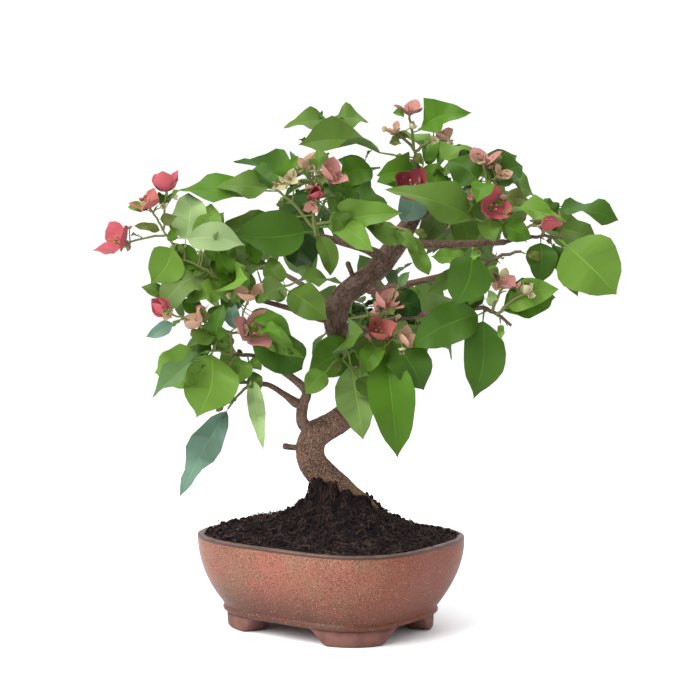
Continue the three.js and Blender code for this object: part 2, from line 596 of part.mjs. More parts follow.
// Three cupped bracts in one closed skin, with the calyx below their middle
function blossomSkin(centre, axis, spin, size) {
  const first = new THREE.Vector3(0.2, 1, 0.1).projectOnPlane(axis).normalize().applyAxisAngle(axis, spin);
  const at = (turn, side, lift) => centre.clone()
    .addScaledVector(first.clone().applyAxisAngle(axis, turn), side)
    .addScaledVector(axis, lift);
  const out = BRACT.out * size;
  const rise = BRACT.rise * size;
  const { halfTurn } = BRACT;
  const rim = [];
  for (let k = 0; k < 3; k++) {
    const turn = (2 * Math.PI * k) / 3;
    rim.push(at(turn - Math.PI / 3, 0.16 * out, 0));
    rim.push(at(turn - halfTurn, 0.75 * out, 0.62 * rise));
    rim.push(at(turn, out, rise));
    rim.push(at(turn + halfTurn, 0.75 * out, 0.62 * rise));
  }
  const points = [...rim, at(0, 0, CALYX.top), at(0, 0, -CALYX.depth)];
  const triangles = [];
  const count = rim.length;
  for (let j = 0; j < count; j++) {
    const k = (j + 1) % count;
    triangles.push([count, j, k], [count + 1, k, j]);
  }
  return geometryFrom(points, triangles);
}

// A shoot's own path, from the shoot that bears it
class Shoot {
  constructor(row, root, level) {
    Object.assign(this, row);
    this.root = root;
    this.level = level;
    this.ahead = heading(row.bearing, row.climb);
  }

  at(t) {
    return this.root.clone()
      .addScaledVector(this.ahead, this.length * t)
      .addScaledVector(UP, this.length * TWIG_RISE * 4 * t * (1 - t));
  }

  skin() {
    const path = [0, 0.33, 0.67, 1].map((t) => this.at(t));
    const last = TWIG_RADII.length - 1;
    const radii = [TWIG_RADII[Math.min(this.level, last)], TWIG_RADII[Math.min(this.level + 1, last)]];
    return new Limb({ path, radii, sides: 3, rings: 4 }).skin();
  }
}

// Every solid grown so far with its box, to keep new growth clear of it
const placed = [];

function keep(owner, kind, solid) {
  placed.push({ owner, kind, solid, box: solid.boundingBox() });
}

function apart(a, b) {
  for (let k = 0; k < 3; k++) {
    if (a.min[k] > b.max[k] + CLEAR || b.min[k] > a.max[k] + CLEAR) return true;
  }
  return false;
}

function isClear(solid, against) {
  const box = solid.boundingBox();
  for (const other of placed) {
    if (!against(other) || apart(box, other.box)) continue;
    if (solid.minGap(other.solid, 2 * CLEAR) < CLEAR) return false;
  }
  return true;
}

function growShoots(mass) {
  mass.parts = [];
  const grown = [];
  for (const row of mass.shoots) {
    const bearer = row.on < 0 ? null : grown[row.on];
    const limb = limbs.get(mass.from);
    const start = mass.root ? limb.nearest(place(mass.root)) : limb.tip();
    const twig = new Shoot(row, bearer ? bearer.at(row.station) : start, bearer ? bearer.level + 1 : 0);
    let solid = solidOf(twig.skin());
    if (!bearer) solid = mainBody(solid.subtract(grownSolids.get(mass.from)));
    const cutFrom = bearer ? null : mass.from;
    const free = isClear(solid, (other) => other.owner !== mass.name && other.owner !== cutFrom);
    twig.skipped = !free || (bearer !== null && bearer.skipped);
    if (!twig.skipped) {
      mass.parts.push(solid);
      keep(mass.name, 'twig', solid);
    }
    grown.push(twig);
  }
  mass.grown = grown;
}

const leafObstacle = (mass) => (other) => other.owner !== mass.name || other.kind !== 'twig';

// Keeps the first of a leaf's directions that is clear of the limbs, the other masses and its own mass's leaves
function growLeaf(mass, root, directions, facing, size, bounded) {
  for (const along of directions) {
    const tip = root.clone().addScaledVector(along, size.length);
    if (bounded && !inCrown(tip)) continue;
    const solid = solidOf(leafSkin(root, along, facing, size));
    if (!isClear(solid, leafObstacle(mass))) continue;
    mass.parts.push(solid);
    keep(mass.name, 'leaf', solid);
    return;
  }
}

function turned(ahead, about, turns) {
  return turns.map((turn) => ahead.clone().applyAxisAngle(about, degToRad(turn)));
}

function growShownLeaves(mass) {
  for (const row of mass.leaves) {
    const twig = mass.grown[row.on];
    if (twig.skipped) continue;
    const ahead = heading(row.bearing, -row.droop);
    const across = new THREE.Vector3().crossVectors(ahead, FRONT).normalize();
    const facing = UP.clone().lerp(FRONT, row.face);
    const directions = turned(ahead, across, DEPTH_TURNS);
    growLeaf(mass, twig.at(row.station), directions, facing, { ...row, roll: 0 }, false);
  }
}

function growBlossom(mass, random) {
  for (const twig of mass.grown) {
    if (!twig.blossom) continue;
    const spin = random() * 2 * Math.PI;
    if (twig.skipped) continue;
    const centre = twig.at(1);
    const axis = twig.ahead.clone()
      .addScaledVector(lightAt(centre), BLOSSOM_LIGHT)
      .addScaledVector(UP, BLOSSOM_UP)
      .normalize();
    for (const share of BLOSSOM_SHARES) {
      const solid = solidOf(blossomSkin(centre, axis, spin, share * twig.blossom));
      if (!isClear(solid, leafObstacle(mass))) continue;
      mass.parts.push(solid);
      keep(mass.name, 'blossom', solid);
      break;
    }
  }
}

function growFillLeaves(mass, random) {
  for (const twig of mass.grown) {
    const first = random() * 2 * Math.PI;
    const side = new THREE.Vector3(0.3, -0.2, 1).projectOnPlane(twig.ahead).normalize();
    for (let k = 0; k < twig.leaves; k++) {
      const station = lerp(...FILL.station, (k + 0.2 + 0.6 * random()) / twig.leaves);
      const length = lerp(...FILL.length, random());
      const lean = lerp(...FILL.lean, random());
      const droop = lerp(...FILL.droop, random());
      const roll = degToRad(lerp(...FILL.roll, random()));
      if (twig.skipped) continue;
      const away = side.clone().applyAxisAngle(twig.ahead, first + k * GOLDEN_ANGLE);
      const ahead = away.addScaledVector(twig.ahead, lean).addScaledVector(UP, -droop).normalize();
      const root = twig.at(station);
      const size = { length, width: 1, stalk: LEAF.stalk, roll };
      growLeaf(mass, root, turned(ahead, twig.ahead, TRY_TURNS), lightAt(root), size, true);
    }
  }
}

// The plant put together

const plant = new THREE.Group();
const tree = new THREE.Group();
tree.rotation.z = TREE_TURN;
plant.add(tree);

function addMesh(group, name, geometry, look) {
  const mesh = new THREE.Mesh(geometry, look);
  mesh.name = name;
  group.add(mesh);
}

const pot = makePot();
const soil = makeSoil();
addMesh(plant, 'pot', pot, GLAZE);
addMesh(plant, 'soil', soil, SOIL);

makeLimbs();
for (const [name, solid] of limbSolids) {
  addMesh(tree, name, geometryOf(solid), BARK);
  keep(name, 'limb', solid);
}
keep('pot', 'pot', solidOf(pot.clone().rotateZ(-TREE_TURN)));
keep('soil', 'soil', solidOf(soil.clone().rotateZ(-TREE_TURN)));

for (const mass of FOLIAGE) growShoots(mass);
FOLIAGE.forEach((mass, i) => growBlossom(mass, seeded(200 + i)));
for (const mass of FOLIAGE) growShownLeaves(mass);
FOLIAGE.forEach((mass, i) => growFillLeaves(mass, seeded(300 + i)));
for (const mass of FOLIAGE) {
  const whole = mainBody(wasm.Manifold.union(mass.parts)).simplify(FUSE_TOLERANCE);
  addMesh(tree, mass.name, geometryOf(whole), LEAVES);
}

// The origin goes under the middle of the whole plant, at the height of the feet
plant.updateMatrixWorld(true);
const middle = new THREE.Box3().setFromObject(plant, true);
for (const child of plant.children) {
  child.position.set(-(middle.min.x + middle.max.x) / 2, -(middle.min.y + middle.max.y) / 2, -middle.min.z);
}

export default plant;
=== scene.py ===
"""A bougainvillea grown as a bonsai, in a soft-cornered glazed pot on four feet.

The tree's own places are millimetres [right, front, up] seen from its front, measured from the middle
of the pot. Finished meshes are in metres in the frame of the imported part.
"""
import json
import math
from types import SimpleNamespace

import bpy
import numpy as np
from mathutils import Matrix, Vector, kdtree

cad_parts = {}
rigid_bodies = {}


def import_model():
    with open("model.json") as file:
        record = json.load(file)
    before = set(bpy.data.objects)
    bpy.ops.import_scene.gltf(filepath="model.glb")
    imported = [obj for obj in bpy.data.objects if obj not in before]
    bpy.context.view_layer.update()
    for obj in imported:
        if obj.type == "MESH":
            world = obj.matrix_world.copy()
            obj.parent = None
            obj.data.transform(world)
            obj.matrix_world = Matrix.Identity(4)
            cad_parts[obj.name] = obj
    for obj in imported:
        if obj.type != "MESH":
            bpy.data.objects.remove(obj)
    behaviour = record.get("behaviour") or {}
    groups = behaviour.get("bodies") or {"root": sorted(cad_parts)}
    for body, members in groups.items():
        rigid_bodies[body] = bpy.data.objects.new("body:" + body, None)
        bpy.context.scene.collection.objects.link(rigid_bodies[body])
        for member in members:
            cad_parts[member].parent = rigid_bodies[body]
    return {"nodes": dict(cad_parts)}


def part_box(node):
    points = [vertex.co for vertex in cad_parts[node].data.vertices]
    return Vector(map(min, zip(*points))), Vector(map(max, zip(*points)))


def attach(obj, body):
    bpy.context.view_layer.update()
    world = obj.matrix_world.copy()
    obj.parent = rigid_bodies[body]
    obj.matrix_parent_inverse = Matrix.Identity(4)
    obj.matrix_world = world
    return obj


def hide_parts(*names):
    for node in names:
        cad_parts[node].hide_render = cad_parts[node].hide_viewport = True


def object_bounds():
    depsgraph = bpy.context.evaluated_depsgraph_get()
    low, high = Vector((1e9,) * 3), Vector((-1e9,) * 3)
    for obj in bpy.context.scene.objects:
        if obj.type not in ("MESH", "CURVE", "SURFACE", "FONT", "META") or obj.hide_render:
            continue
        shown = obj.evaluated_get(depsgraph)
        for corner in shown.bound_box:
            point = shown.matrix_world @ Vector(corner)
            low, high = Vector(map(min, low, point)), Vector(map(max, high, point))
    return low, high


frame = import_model()
cad_low, cad_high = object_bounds()

MM = 0.001
UP = np.array([0.0, 0.0, 1.0])
FRONT = np.array([0.0, -1.0, 0.0])

# Pot
POT_HALF_LENGTH = 111.6
POT_HALF_WIDTH = 91.2
POT_CORNER_POWER = 3.15
POT_HEIGHT = 81.5
GLAZE_EDGE_Z = 79
WAIST_Z = 20
WAIST_SCALE = 0.795
BEAD_SCALE = 0.806
UNDERSIDE_Z = 14
WALL = 6.5
FLOOR_Z = 23
FOOT_SCALE = 0.775
FOOT_INNER_SCALE = 0.6
LONG_NOTCH = (48, 28)
SHORT_NOTCH = (38, 16)
POT_SIDES = 192

# Soil, heaped up to the foot of the trunk
SOIL_EDGE_Z = 79.5
SOIL_TOP_Z = 113.5
SOIL_TOP_RADIUS = 26
SOIL_INSET = 4.5
HEAP_SPREAD = 0.40
HEAP_SPREAD_POWER = 0.65
HEAP_PEAK_POWER = 3.5
HEAP_TILT = -0.025
SOIL_SIDES = 160
SOIL_RINGS = 60

# The peat that clings to the left and front of the trunk's foot: where, how wide and how high
PEAT_LUMPS = [
    ((-10, 12), 9.0, 19), ((2, 15), 8.0, 15), ((13, 16), 8.0, 9), ((24, 15), 8.0, 5), ((-27, 6), 5.0, 4),
]

# The tree stands turned on the pot
TREE_TURN = math.radians(36.4)
TRUNK_FOOT = (10, 0)
TRUNK_PATH = [
    (10, 0, 118), (-4, 2, 131), (-17, 5, 149), (-13, 6, 167), (10, 1, 182), (36, -8, 206),
    (33, -5, 228), (7, 7, 259), (9, 6, 285), (43, 0, 315), (65, -2, 346), (82, -6, 376),
]
TRUNK_RADII = [14.5, 12.8, 11.6, 11, 10, 9.6, 9.8, 10, 9.8, 9.4, 7.6, 3.8]
FLARE_REACH = 0.09
FLARE_WIDTH = 0.12
FLARE_LOBES = 5
FLARE_LOBE_DEPTH = 0.08
FLARE_POWER = 1.5

# Boughs: the limb that bears each, its path and its radii
BOUGHS = {
    "lower_left_bough": (
        "trunk", [(-24, 12, 181), (-23, 14, 196), (-20, 20, 207), (-40, 37, 227), (-57, 46, 238)],
        [5, 4.2, 3.4, 2.2],
    ),
    "lower_left_limb": (
        "lower_left_bough", [(-28, 15, 197), (-39, 18, 205), (-53, 24, 214), (-64, 27, 215)],
        [3.5, 2.6, 2.2],
    ),
    "left_bough": ("trunk", [(-8, 14, 271), (-25, 28, 277), (-57, 46, 287)], [3.4, 2.6, 2]),
    "upper_left_bough": ("trunk", [(38, 10, 327), (7, 28, 337), (-11, 40, 342)], [4.6, 3.4, 2.4]),
    "rear_left_bough": ("trunk", [(48, -16, 345), (33, -30, 354), (4, -48, 371)], [4, 3, 2.4]),
    "top_bough": ("trunk", [(80, 4, 360), (100, 16, 371), (111, 22, 380)], [4, 3, 2.4]),
    "upper_right_bough": ("trunk", [(70, 10, 335), (94, 20, 334), (148, 42, 336)], [4.6, 3.4, 2.5]),
    "mid_right_bough": ("trunk", [(36, 12, 295), (60, 26, 299), (124, 60, 315)], [3.7, 2.8, 2.2]),
    "low_right_bough": ("trunk", [(22, 16, 258), (60, 40, 272), (127, 68, 282)], [3.6, 2.8, 2]),
    "back_left_bough": ("trunk", [(-4, -16, 283), (-24, -46, 297), (-50, -76, 311)], [3.6, 2.8, 2]),
    "back_right_bough": ("trunk", [(58, -22, 331), (76, -48, 336), (95, -76, 342)], [3.8, 2.9, 2]),
    "back_bough": ("trunk", [(22, -20, 247), (34, -44, 252), (42, -70, 259)], [3.6, 2.8, 2]),
}

# Dead ends left on the trunk by pruning: where, bearing, climb, length and radius
STUBS = [((-15, 6, 153), -82, 14, 27, 3.1), ((22, 1, 299), -30, 55, 24, 2.6)]

# A root that leaves the foot of the trunk to the right and goes into the soil
SIDE_ROOT_PATH = [(-1, 3, 126), (10, 4, 121), (20, 5, 115), (28, 6, 110), (37, 6, 103), (45, 6, 97)]
SIDE_ROOT_RADII = [9, 9.5, 8.5, 7.5, 6, 3]

# The trunk's foot goes on down into the soil
STUMP_PATH = [(7, 0, 126), (8, 0, 117), (10, 0, 104)]
STUMP_RADII = [10, 15, 18]

# Foliage rule, the same as in the part's source
LEAF_STALK = 0.14
LEAF_HALF_WIDTH = 0.33
FILL_LENGTH = (40, 66)
BRACT_OUT = 10
BRACT_RISE = 17
BRACT_LENGTH = math.hypot(BRACT_OUT, BRACT_RISE)
BRACTS = 3
BLOSSOM_SHARES = (1, 0.85, 0.7, 0.55, 0.4)
BLOSSOM_LIGHT = 0.5
BLOSSOM_UP = 0.6
TWIG_RADII = (1.9, 1.5, 1.2, 1)
TWIG_RISE = 0.06
GOLDEN_ANGLE = math.radians(137.5)
TRY_TURNS = (0, 14, -14, 28, -28, 45, -45, 76, -76, 114, -114, 160)
DEPTH_TURNS = (0, 9, -9, 18, -18, 28, -28, 40, -40)
CROWN_CENTRE = np.array([28.0, 5.0, 292.0])
CROWN_DEPTH = 185
CROWN_FACING = (-0.35, 0.25)
LIGHT_UP = 0.5
LIGHT_FRONT = 0.75
LIGHT_OUT = 0.3

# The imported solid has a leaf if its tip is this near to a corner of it, and a blossom if two tips are
SAME_PLACE = 0.4
BRACTS_FOUND = 2

# Smaller leaves that fill the masses up: tries per shoot, lengths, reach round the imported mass, lean back
SIDE_LEAVES = {
    "left_tip_foliage": 5, "left_low_foliage": 5, "hanging_left_foliage": 0, "back_left_foliage": 9,
    "upper_left_foliage": 3, "top_left_foliage": 3, "top_foliage": 3, "upper_right_foliage": 2,
    "right_foliage": 1, "mid_right_foliage": 2, "low_right_foliage": 1, "centre_foliage": 2,
    "back_foliage": 8, "back_right_foliage": 7,
}
SIDE_LENGTH = (24, 44)
SIDE_REACH = 13
SIDE_RETREAT = 0.6

# Camera, placed by x, y and z of the tree's own frame
CAMERA_PITCH = math.radians(3.7)
CAMERA_PLACE = (17.4, -1475.917, 337.73)
CAMERA_LENS = 87.43

# Where the sky shows through the crown, as seen from the front: right, up and radius
SKY_GAPS = [(-63, 371, 20), (153, 330, 17), (181, 386, 14)]


def shoot(on, station, bearing, climb, length, leaves, blossom=0, tint=None):
    """A shoot: its bearer, how far along, its bearing, climb and length, its leaf count, and the relative
    size and the tint of the blossom that ends it."""
    return dict(on=on, station=station, bearing=bearing, climb=climb, length=length, leaves=leaves,
                blossom=blossom, tint=tint)


def leaf(on, station, bearing, droop, length, width, face, tint, stalk=LEAF_STALK):
    """A leaf that shows by itself: its shoot, how far along, its bearing, droop, length and width, how far
    it faces the front instead of the sky, its tint and its stalk's share of the length."""
    return dict(on=on, station=station, bearing=bearing, droop=droop, length=length, width=width, face=face,
                tint=tint, stalk=stalk)


FOLIAGE = [
    dict(name="left_tip_foliage", limb="left_bough", shoots=[
        shoot(-1, 0, -71, 24, 34, 2), shoot(0, 1, -78, 29, 43, 1), shoot(1, 1, -74, 59, 29, 0),
        shoot(2, 0.75, -76, -12, 37, 0, 1.4, "hot_pink"), shoot(2, 1, -59, 57, 21, 0, 1, "coral"),
        shoot(2, 0.95, 148, 82, 32, 0, 1.15, "hot_pink"), shoot(0, 0.1, 68, 21, 32, 0),
        shoot(0, 0.9, -158, 63, 21, 1), shoot(0, 0.9, -86, -14, 50, 1),
    ], leaves=[
        leaf(2, 0.36, -72, 56, 36, 1.41, 1, "fresh", 0.05),
        leaf(1, 0.48, -106, -19, 38, 1.16, 0.9, "bright"),
        leaf(2, 0.47, -10, -70, 12, 1.34, 0.8, "bright"),
        leaf(2, 0.92, -80, -11, 25, 0.55, 0.8, "olive"), leaf(4, 0.39, 83, -11, 17, 1.05, 0.8, "olive"),
        leaf(1, 0.91, 175, -75, 61, 1.05, 1, "yellow", 0.3),
        leaf(2, 0.69, 70, 5, 64, 0.81, 0.8, "pale", 0.25),
        leaf(1, 0.61, 141, -73, 54, 1.03, 0.9, "fresh", 0.34),
        leaf(0, 0.61, -58, -54, 38, 1, 0.9, "bright"), leaf(0, 0.85, -59, 17, 45, 0.75, 0.8, "fresh"),
        leaf(0, 0.50, -61, 48, 25, 1.45, 0.8, "blue"), leaf(8, 0.99, -76, -24, 27, 0.78, 0.8, "mid"),
        leaf(8, 0.94, 90, -33, 35, 0.89, 0.7, "grey"), leaf(8, 0.76, 49, 42, 33, 0.8, 0.8, "bright"),
        leaf(6, 0.84, -122, -58, 28, 1.15, 0.8, "mid"), leaf(6, 0.97, -68, 23, 29, 1.45, 0.7, "grey"),
        leaf(6, 0.76, 78, 36, 48, 1.05, 0.9, "mid"), leaf(6, 0.66, 96, -6, 55, 0.87, 0.2, "mid"),
        leaf(7, 0.78, 97, -5, 35, 0.96, 0.8, "grey"), leaf(7, 0.49, 83, 34, 31, 1.15, 0.9, "fresh"),
    ]),
    dict(name="left_low_foliage", limb="lower_left_bough", shoots=[
        shoot(-1, 0, -57, 7, 30, 0), shoot(0, 1, 4, 60, 24, 0),
        shoot(1, 0.95, -71, 13, 27, 0, 0.9, "peach"), shoot(2, 0.95, -72, 19, 29, 0, 1, "hot_pink"),
        shoot(1, 0.9, 50, -2, 24, 0, 1.3, "pink"), shoot(4, 0.4, 56, 71, 28, 0, 1, "peach"),
        shoot(0, 0.95, -52, 11, 25, 1),
    ], leaves=[
        leaf(6, 0.79, -48, 72, 57, 1.32, 1, "fresh", 0.06),
        leaf(6, 0.99, -90, 22, 51, 1.28, 0.9, "fresh"), leaf(6, 0.89, -65, 33, 62, 0.49, 0.5, "blue"),
        leaf(6, 0.68, -73, -10, 27, 1.45, 0.7, "deep"), leaf(1, 0.10, -90, -60, 21, 1.45, 0.8, "fresh"),
        leaf(0, 0.78, 12, 76, 25, 1.45, 0.8, "fresh"), leaf(4, 0.25, 3, -81, 24, 0.95, 0.8, "teal"),
        leaf(3, 0.51, -79, 25, 35, 0.72, 0.8, "teal", 0.3),
        leaf(5, 0.59, 99, 37, 65, 0.49, 0.8, "fresh"), leaf(5, 0.71, 78, 29, 44, 0.66, 0.8, "bright"),
        leaf(4, 0.68, 98, 34, 67, 0.9, 0.9, "deep"), leaf(0, 0.35, 57, 48, 16, 1.08, 0.8, "fresh"),
        leaf(0, 0.46, 54, 78, 81, 0.35, 0.7, "yellow", 0.24),
    ]),
    dict(name="hanging_left_foliage", limb="lower_left_limb", shoots=[
        shoot(-1, 0, -73, 4, 18, 1), shoot(0, 0.2, -53, -42, 31, 0),
    ], leaves=[
        leaf(1, 0.99, -77, 60, 86, 0.47, 0.8, "teal", 0.03),
    ]),
    dict(name="back_left_foliage", limb="back_left_bough", shoots=[
        shoot(-1, 0, -76, -4, 66, 5), shoot(0, 0.2, -144, 23, 64, 4), shoot(0, 0.1, 176, 31, 65, 5),
        shoot(0, 0.6, -135, 15, 64, 4),
    ], leaves=[]),
    dict(name="upper_left_foliage", limb="upper_left_bough", shoots=[
        shoot(-1, 0, -15, 69, 58, 0, 0.9, "peach"), shoot(0, 0.8, 47, 7, 21, 0, 1, "pink"),
        shoot(0, 0.75, -60, -2, 22, 0, 0.8, "cream"), shoot(0, 0.5, 6, -1, 24, 0, 0.85, "hot_pink"),
        shoot(0, 0.06, -82, 45, 50, 1), shoot(0, 0.14, 71, -4, 82, 0),
    ], leaves=[
        leaf(0, 0.04, -80, 2, 69, 1, 0.75, "deep"), leaf(0, 0.09, 76, -10, 75, 0.69, 0.8, "fresh"),
        leaf(5, 0.15, 77, 32, 53, 0.74, 0.8, "fresh"), leaf(5, 0.82, 75, 46, 34, 0.61, 0.8, "mid"),
        leaf(5, 0.41, 77, 20, 64, 0.35, 0.7, "mid"), leaf(5, 0.98, 79, 61, 45, 0.59, 0.8, "fresh"),
        leaf(4, 0.95, -81, -5, 50, 0.8, 0.6, "mid"),
        leaf(4, 0.89, -97, -1, 86, 0.59, 0.6, "bright", 0.2),
        leaf(4, 0.83, -96, -34, 43, 0.85, 0.4, "deep"),
        leaf(0, 0.15, -117, 63, 49, 1.23, 0.9, "deepest", 0.24),
        leaf(0, 0.21, 107, 74, 50, 0.72, 0.8, "mid", 0.3),
        leaf(0, 0.26, -97, 6, 84, 0.5, 0.7, "mid", 0.4),
        leaf(0, 0.31, -58, -30, 13, 1.39, 0.8, "fresh"), leaf(0, 0.55, 86, -4, 32, 0.62, 0.8, "deep"),
    ]),
    dict(name="top_left_foliage", limb="rear_left_bough", shoots=[
        shoot(-1, 0, -41, 64, 55, 1), shoot(0, 1, 74, 59, 28, 0), shoot(0, 0.35, 88, 13, 47, 1),
        shoot(0, 0.3, -148, 2, 56, 5), shoot(0, 0.1, -167, -14, 67, 5),
    ], leaves=[
        leaf(1, 0.88, -79, 5, 42, 0.8, 0.5, "mid", 0.04),
        leaf(1, 0.52, 87, -10, 39, 1.16, 0.5, "mid", 0.12),
        leaf(2, 0.96, -74, 24, 40, 1.25, 0.9, "bright"),
        leaf(2, 0.84, -101, -14, 32, 0.82, 0.8, "deep"),
        leaf(2, 0.63, -67, 63, 34, 0.73, 0.8, "bright"),
    ]),
    dict(name="top_foliage", limb="trunk", shoots=[
        shoot(-1, 0, -45, 71, 43, 1), shoot(0, 1, -25, 73, 30, 0, 0.9, "pink"),
        shoot(0, 0.95, -57, 37, 24, 0, 0.55, "peach"), shoot(0, 0.9, 59, 24, 27, 0, 0.8, "peach"),
        shoot(0, 0.3, -14, -13, 39, 0, 1.2, "crimson"), shoot(0, 0.2, 158, 16, 52, 5),
        shoot(0, 0.14, 123, -32, 42, 0),
    ], leaves=[
        leaf(1, 0.39, 78, -17, 59, 0.79, 0.7, "bright"),
        leaf(0, 0.75, -96, -8, 104, 0.56, 0.5, "mid", 0.3), leaf(0, 0.56, 74, 24, 31, 1, 0.8, "bright"),
        leaf(0, 0.66, -77, 26, 40, 1.13, 0.8, "bright"), leaf(1, 0.25, -84, -5, 18, 0.6, 0.8, "olive"),
        leaf(0, 0.92, 55, 50, 16, 0.96, 0.8, "olive"),
        leaf(4, 0.42, -82, 69, 38, 1.45, 0.8, "teal", 0.3),
        leaf(6, 0.64, -79, 59, 42, 0.96, 0.8, "grey"), leaf(6, 0.99, 64, 75, 35, 1.25, 0.9, "mid"),
    ]),
    dict(name="upper_right_foliage", limb="top_bough", shoots=[
        shoot(-1, 0, 62, 10, 26, 0), shoot(0, 1, -43, 73, 18, 0, 1.05, "pink"),
        shoot(0, 1, 43, 25, 15, 0, 0.65, "peach"), shoot(0, 0.2, 30, -27, 41, 0, 1.2, "hot_pink"),
        shoot(3, 0.9, 19, -72, 18, 0), shoot(0, 0.2, 165, 7, 67, 5),
    ], leaves=[
        leaf(0, 0.82, -109, -36, 38, 1.45, 0.8, "deep"), leaf(0, 0.96, 104, -28, 38, 1.27, 0.8, "deep"),
        leaf(4, 0.92, -80, -21, 92, 0.58, 0.6, "mid"), leaf(4, 0.38, 67, 6, 68, 0.4, 0.6, "fresh", 0.2),
        leaf(4, 0.71, 84, 24, 39, 1.12, 0.9, "bright", 0.3), leaf(4, 0.55, 24, 64, 25, 1.4, 0.9, "mid"),
        leaf(3, 0.76, 96, 1, 42, 0.62, 0.7, "olive", 0.25),
    ]),
    dict(name="right_foliage", limb="upper_right_bough", shoots=[
        shoot(-1, 0, 69, 4, 49, 0), shoot(0, 0.65, 45, 62, 7, 0, 1.2, "hot_pink"),
        shoot(0, 0.97, -179, 61, 31, 0), shoot(0, 0.15, 155, 10, 77, 4),
    ], leaves=[
        leaf(0, 0.93, 81, 44, 68, 1.41, 1, "fresh"), leaf(0, 0.63, -10, 81, 40, 1.17, 0.9, "deep"),
        leaf(0, 0.74, 106, 60, 59, 0.56, 0.8, "deep"),
        leaf(2, 0.96, 79, 6, 51, 0.76, 0.5, "deep", 0.05),
        leaf(2, 0.73, -71, -43, 17, 1.13, 0.6, "deep", 0.05),
    ]),
    dict(name="mid_right_foliage", limb="mid_right_bough", shoots=[
        shoot(-1, 0, 71, 20, 39, 0), shoot(0, 0.2, -32, 25, 28, 0),
    ], leaves=[
        leaf(1, 0.86, -58, 67, 48, 1.39, 1, "deep"), leaf(0, 0.12, 70, 54, 20, 1.31, 0.8, "fresh"),
        leaf(0, 0.19, -107, -6, 48, 0.66, 0.8, "fresh", 0.3),
        leaf(0, 0.28, -108, 26, 59, 0.56, 0.8, "mid", 0.3),
    ]),
    dict(name="low_right_foliage", limb="low_right_bough", shoots=[
        shoot(-1, 0, 67, -30, 29, 1), shoot(0, 0.35, 44, 61, 24, 0, 0.8, "pink"),
        shoot(0, 0.5, 62, 36, 29, 0, 0.65, "cream"),
    ], leaves=[
        leaf(0, 0.22, -83, 25, 70, 0.88, 0.9, "deep"), leaf(0, 0.07, -47, 81, 76, 0.83, 1, "deep"),
        leaf(2, 0.14, 73, -20, 51, 0.83, 0.85, "fresh"),
        leaf(0, 0.34, -114, -36, 37, 1, 0.8, "deep", 0.3),
        leaf(1, 0.11, -45, -69, 16, 1.1, 0.8, "yellow"),
    ]),
    dict(name="centre_foliage", limb="trunk", root=(26, 0, 240), shoots=[
        shoot(-1, 0, 17, 19, 58, 1, 1.15, "coral"), shoot(0, 0.8, 33, 52, 32, 0, 1.1, "pink"),
        shoot(0, 0.75, 48, -4, 34, 0, 0.85, "peach"), shoot(0, 0.2, -40, -20, 47, 1),
        shoot(1, 0.9, 116, 55, 25, 0),
    ], leaves=[
        leaf(3, 0.40, 73, 80, 76, 0.82, 1, "lime"), leaf(2, 0.37, 55, 82, 103, 0.68, 0.95, "bright"),
        leaf(0, 0.28, -83, 26, 53, 1.2, 0.9, "bright"), leaf(3, 0.99, -73, 46, 29, 1.22, 0.9, "fresh"),
        leaf(2, 0.59, 106, 56, 52, 1.2, 0.9, "deep"), leaf(0, 0.61, 99, 49, 39, 1.14, 0.8, "olive"),
        leaf(4, 0.19, 111, 12, 29, 1.45, 1, "deepest"), leaf(0, 0.23, 122, -51, 12, 1.45, 0.8, "olive"),
        leaf(4, 0.80, 79, -54, 18, 0.79, 0.9, "blue"),
    ]),
    dict(name="back_foliage", limb="back_bough", shoots=[
        shoot(-1, 0, 174, 15, 83, 6), shoot(0, 0.3, 126, -9, 61, 6), shoot(0, 0.3, -135, -15, 67, 6),
        shoot(0, 0.6, 169, -40, 63, 5),
    ], leaves=[]),
    dict(name="back_right_foliage", limb="back_right_bough", shoots=[
        shoot(-1, 0, 135, 6, 91, 6), shoot(0, 0.2, 163, 28, 61, 5), shoot(0, 0.5, 108, 4, 40, 5),
        shoot(0, 0.4, 165, -10, 51, 5, 1, "coral"),
    ], leaves=[]),
]

# Tints as linear colours. A leaf's rib and underside are paler than its blade.
LEAF_TINTS = {
    "bright": (0.047, 0.112, 0.008),
    "fresh": (0.082, 0.158, 0.021),
    "lime": (0.118, 0.190, 0.048),
    "mid": (0.056, 0.104, 0.015),
    "deep": (0.031, 0.075, 0.008),
    "deepest": (0.013, 0.037, 0.005),
    # The grey and blue tints are partly the leaves' own green and partly painted sheen, the white sky's
    # reflection on their gloss
    "grey": (0.078, 0.125, 0.032),
    "blue": (0.072, 0.132, 0.045),
    "teal": (0.084, 0.148, 0.104),
    "pale": (0.165, 0.230, 0.100),
    "yellow": (0.215, 0.310, 0.120),
    "olive": (0.078, 0.095, 0.022),
}
RIB_GAIN = 1.25
RIB_LIFT = (0.016, 0.022, 0.006)
UNDERSIDE_GAIN = 1.1
UNDERSIDE_LIFT = (0.016, 0.024, 0.012)
SPRAY_TINTS = ("bright", "mid", "fresh", "mid", "bright", "grey", "mid", "deep")
YOUNG_TINTS = ("olive", "fresh", "mid", "olive")
BUD_TINTS = ("cream", "peach", "cream", "pink")
BRACT_TINTS = {
    # Partly the bracts' own crimson, partly painted shade: this blossom sits under a leaf
    "crimson": (0.140, 0.021, 0.027),
    "hot_pink": (0.315, 0.062, 0.076),
    "coral": (0.290, 0.084, 0.070),
    "pink": (0.300, 0.130, 0.115),
    "peach": (0.340, 0.210, 0.140),
    "cream": (0.320, 0.285, 0.160),
}
BRACT_OPENING = {"crimson": 0.3, "hot_pink": 0.35, "coral": 0.6, "pink": 0.75, "peach": 0.6, "cream": 0.5}


# Vectors, noise and repeatable chance

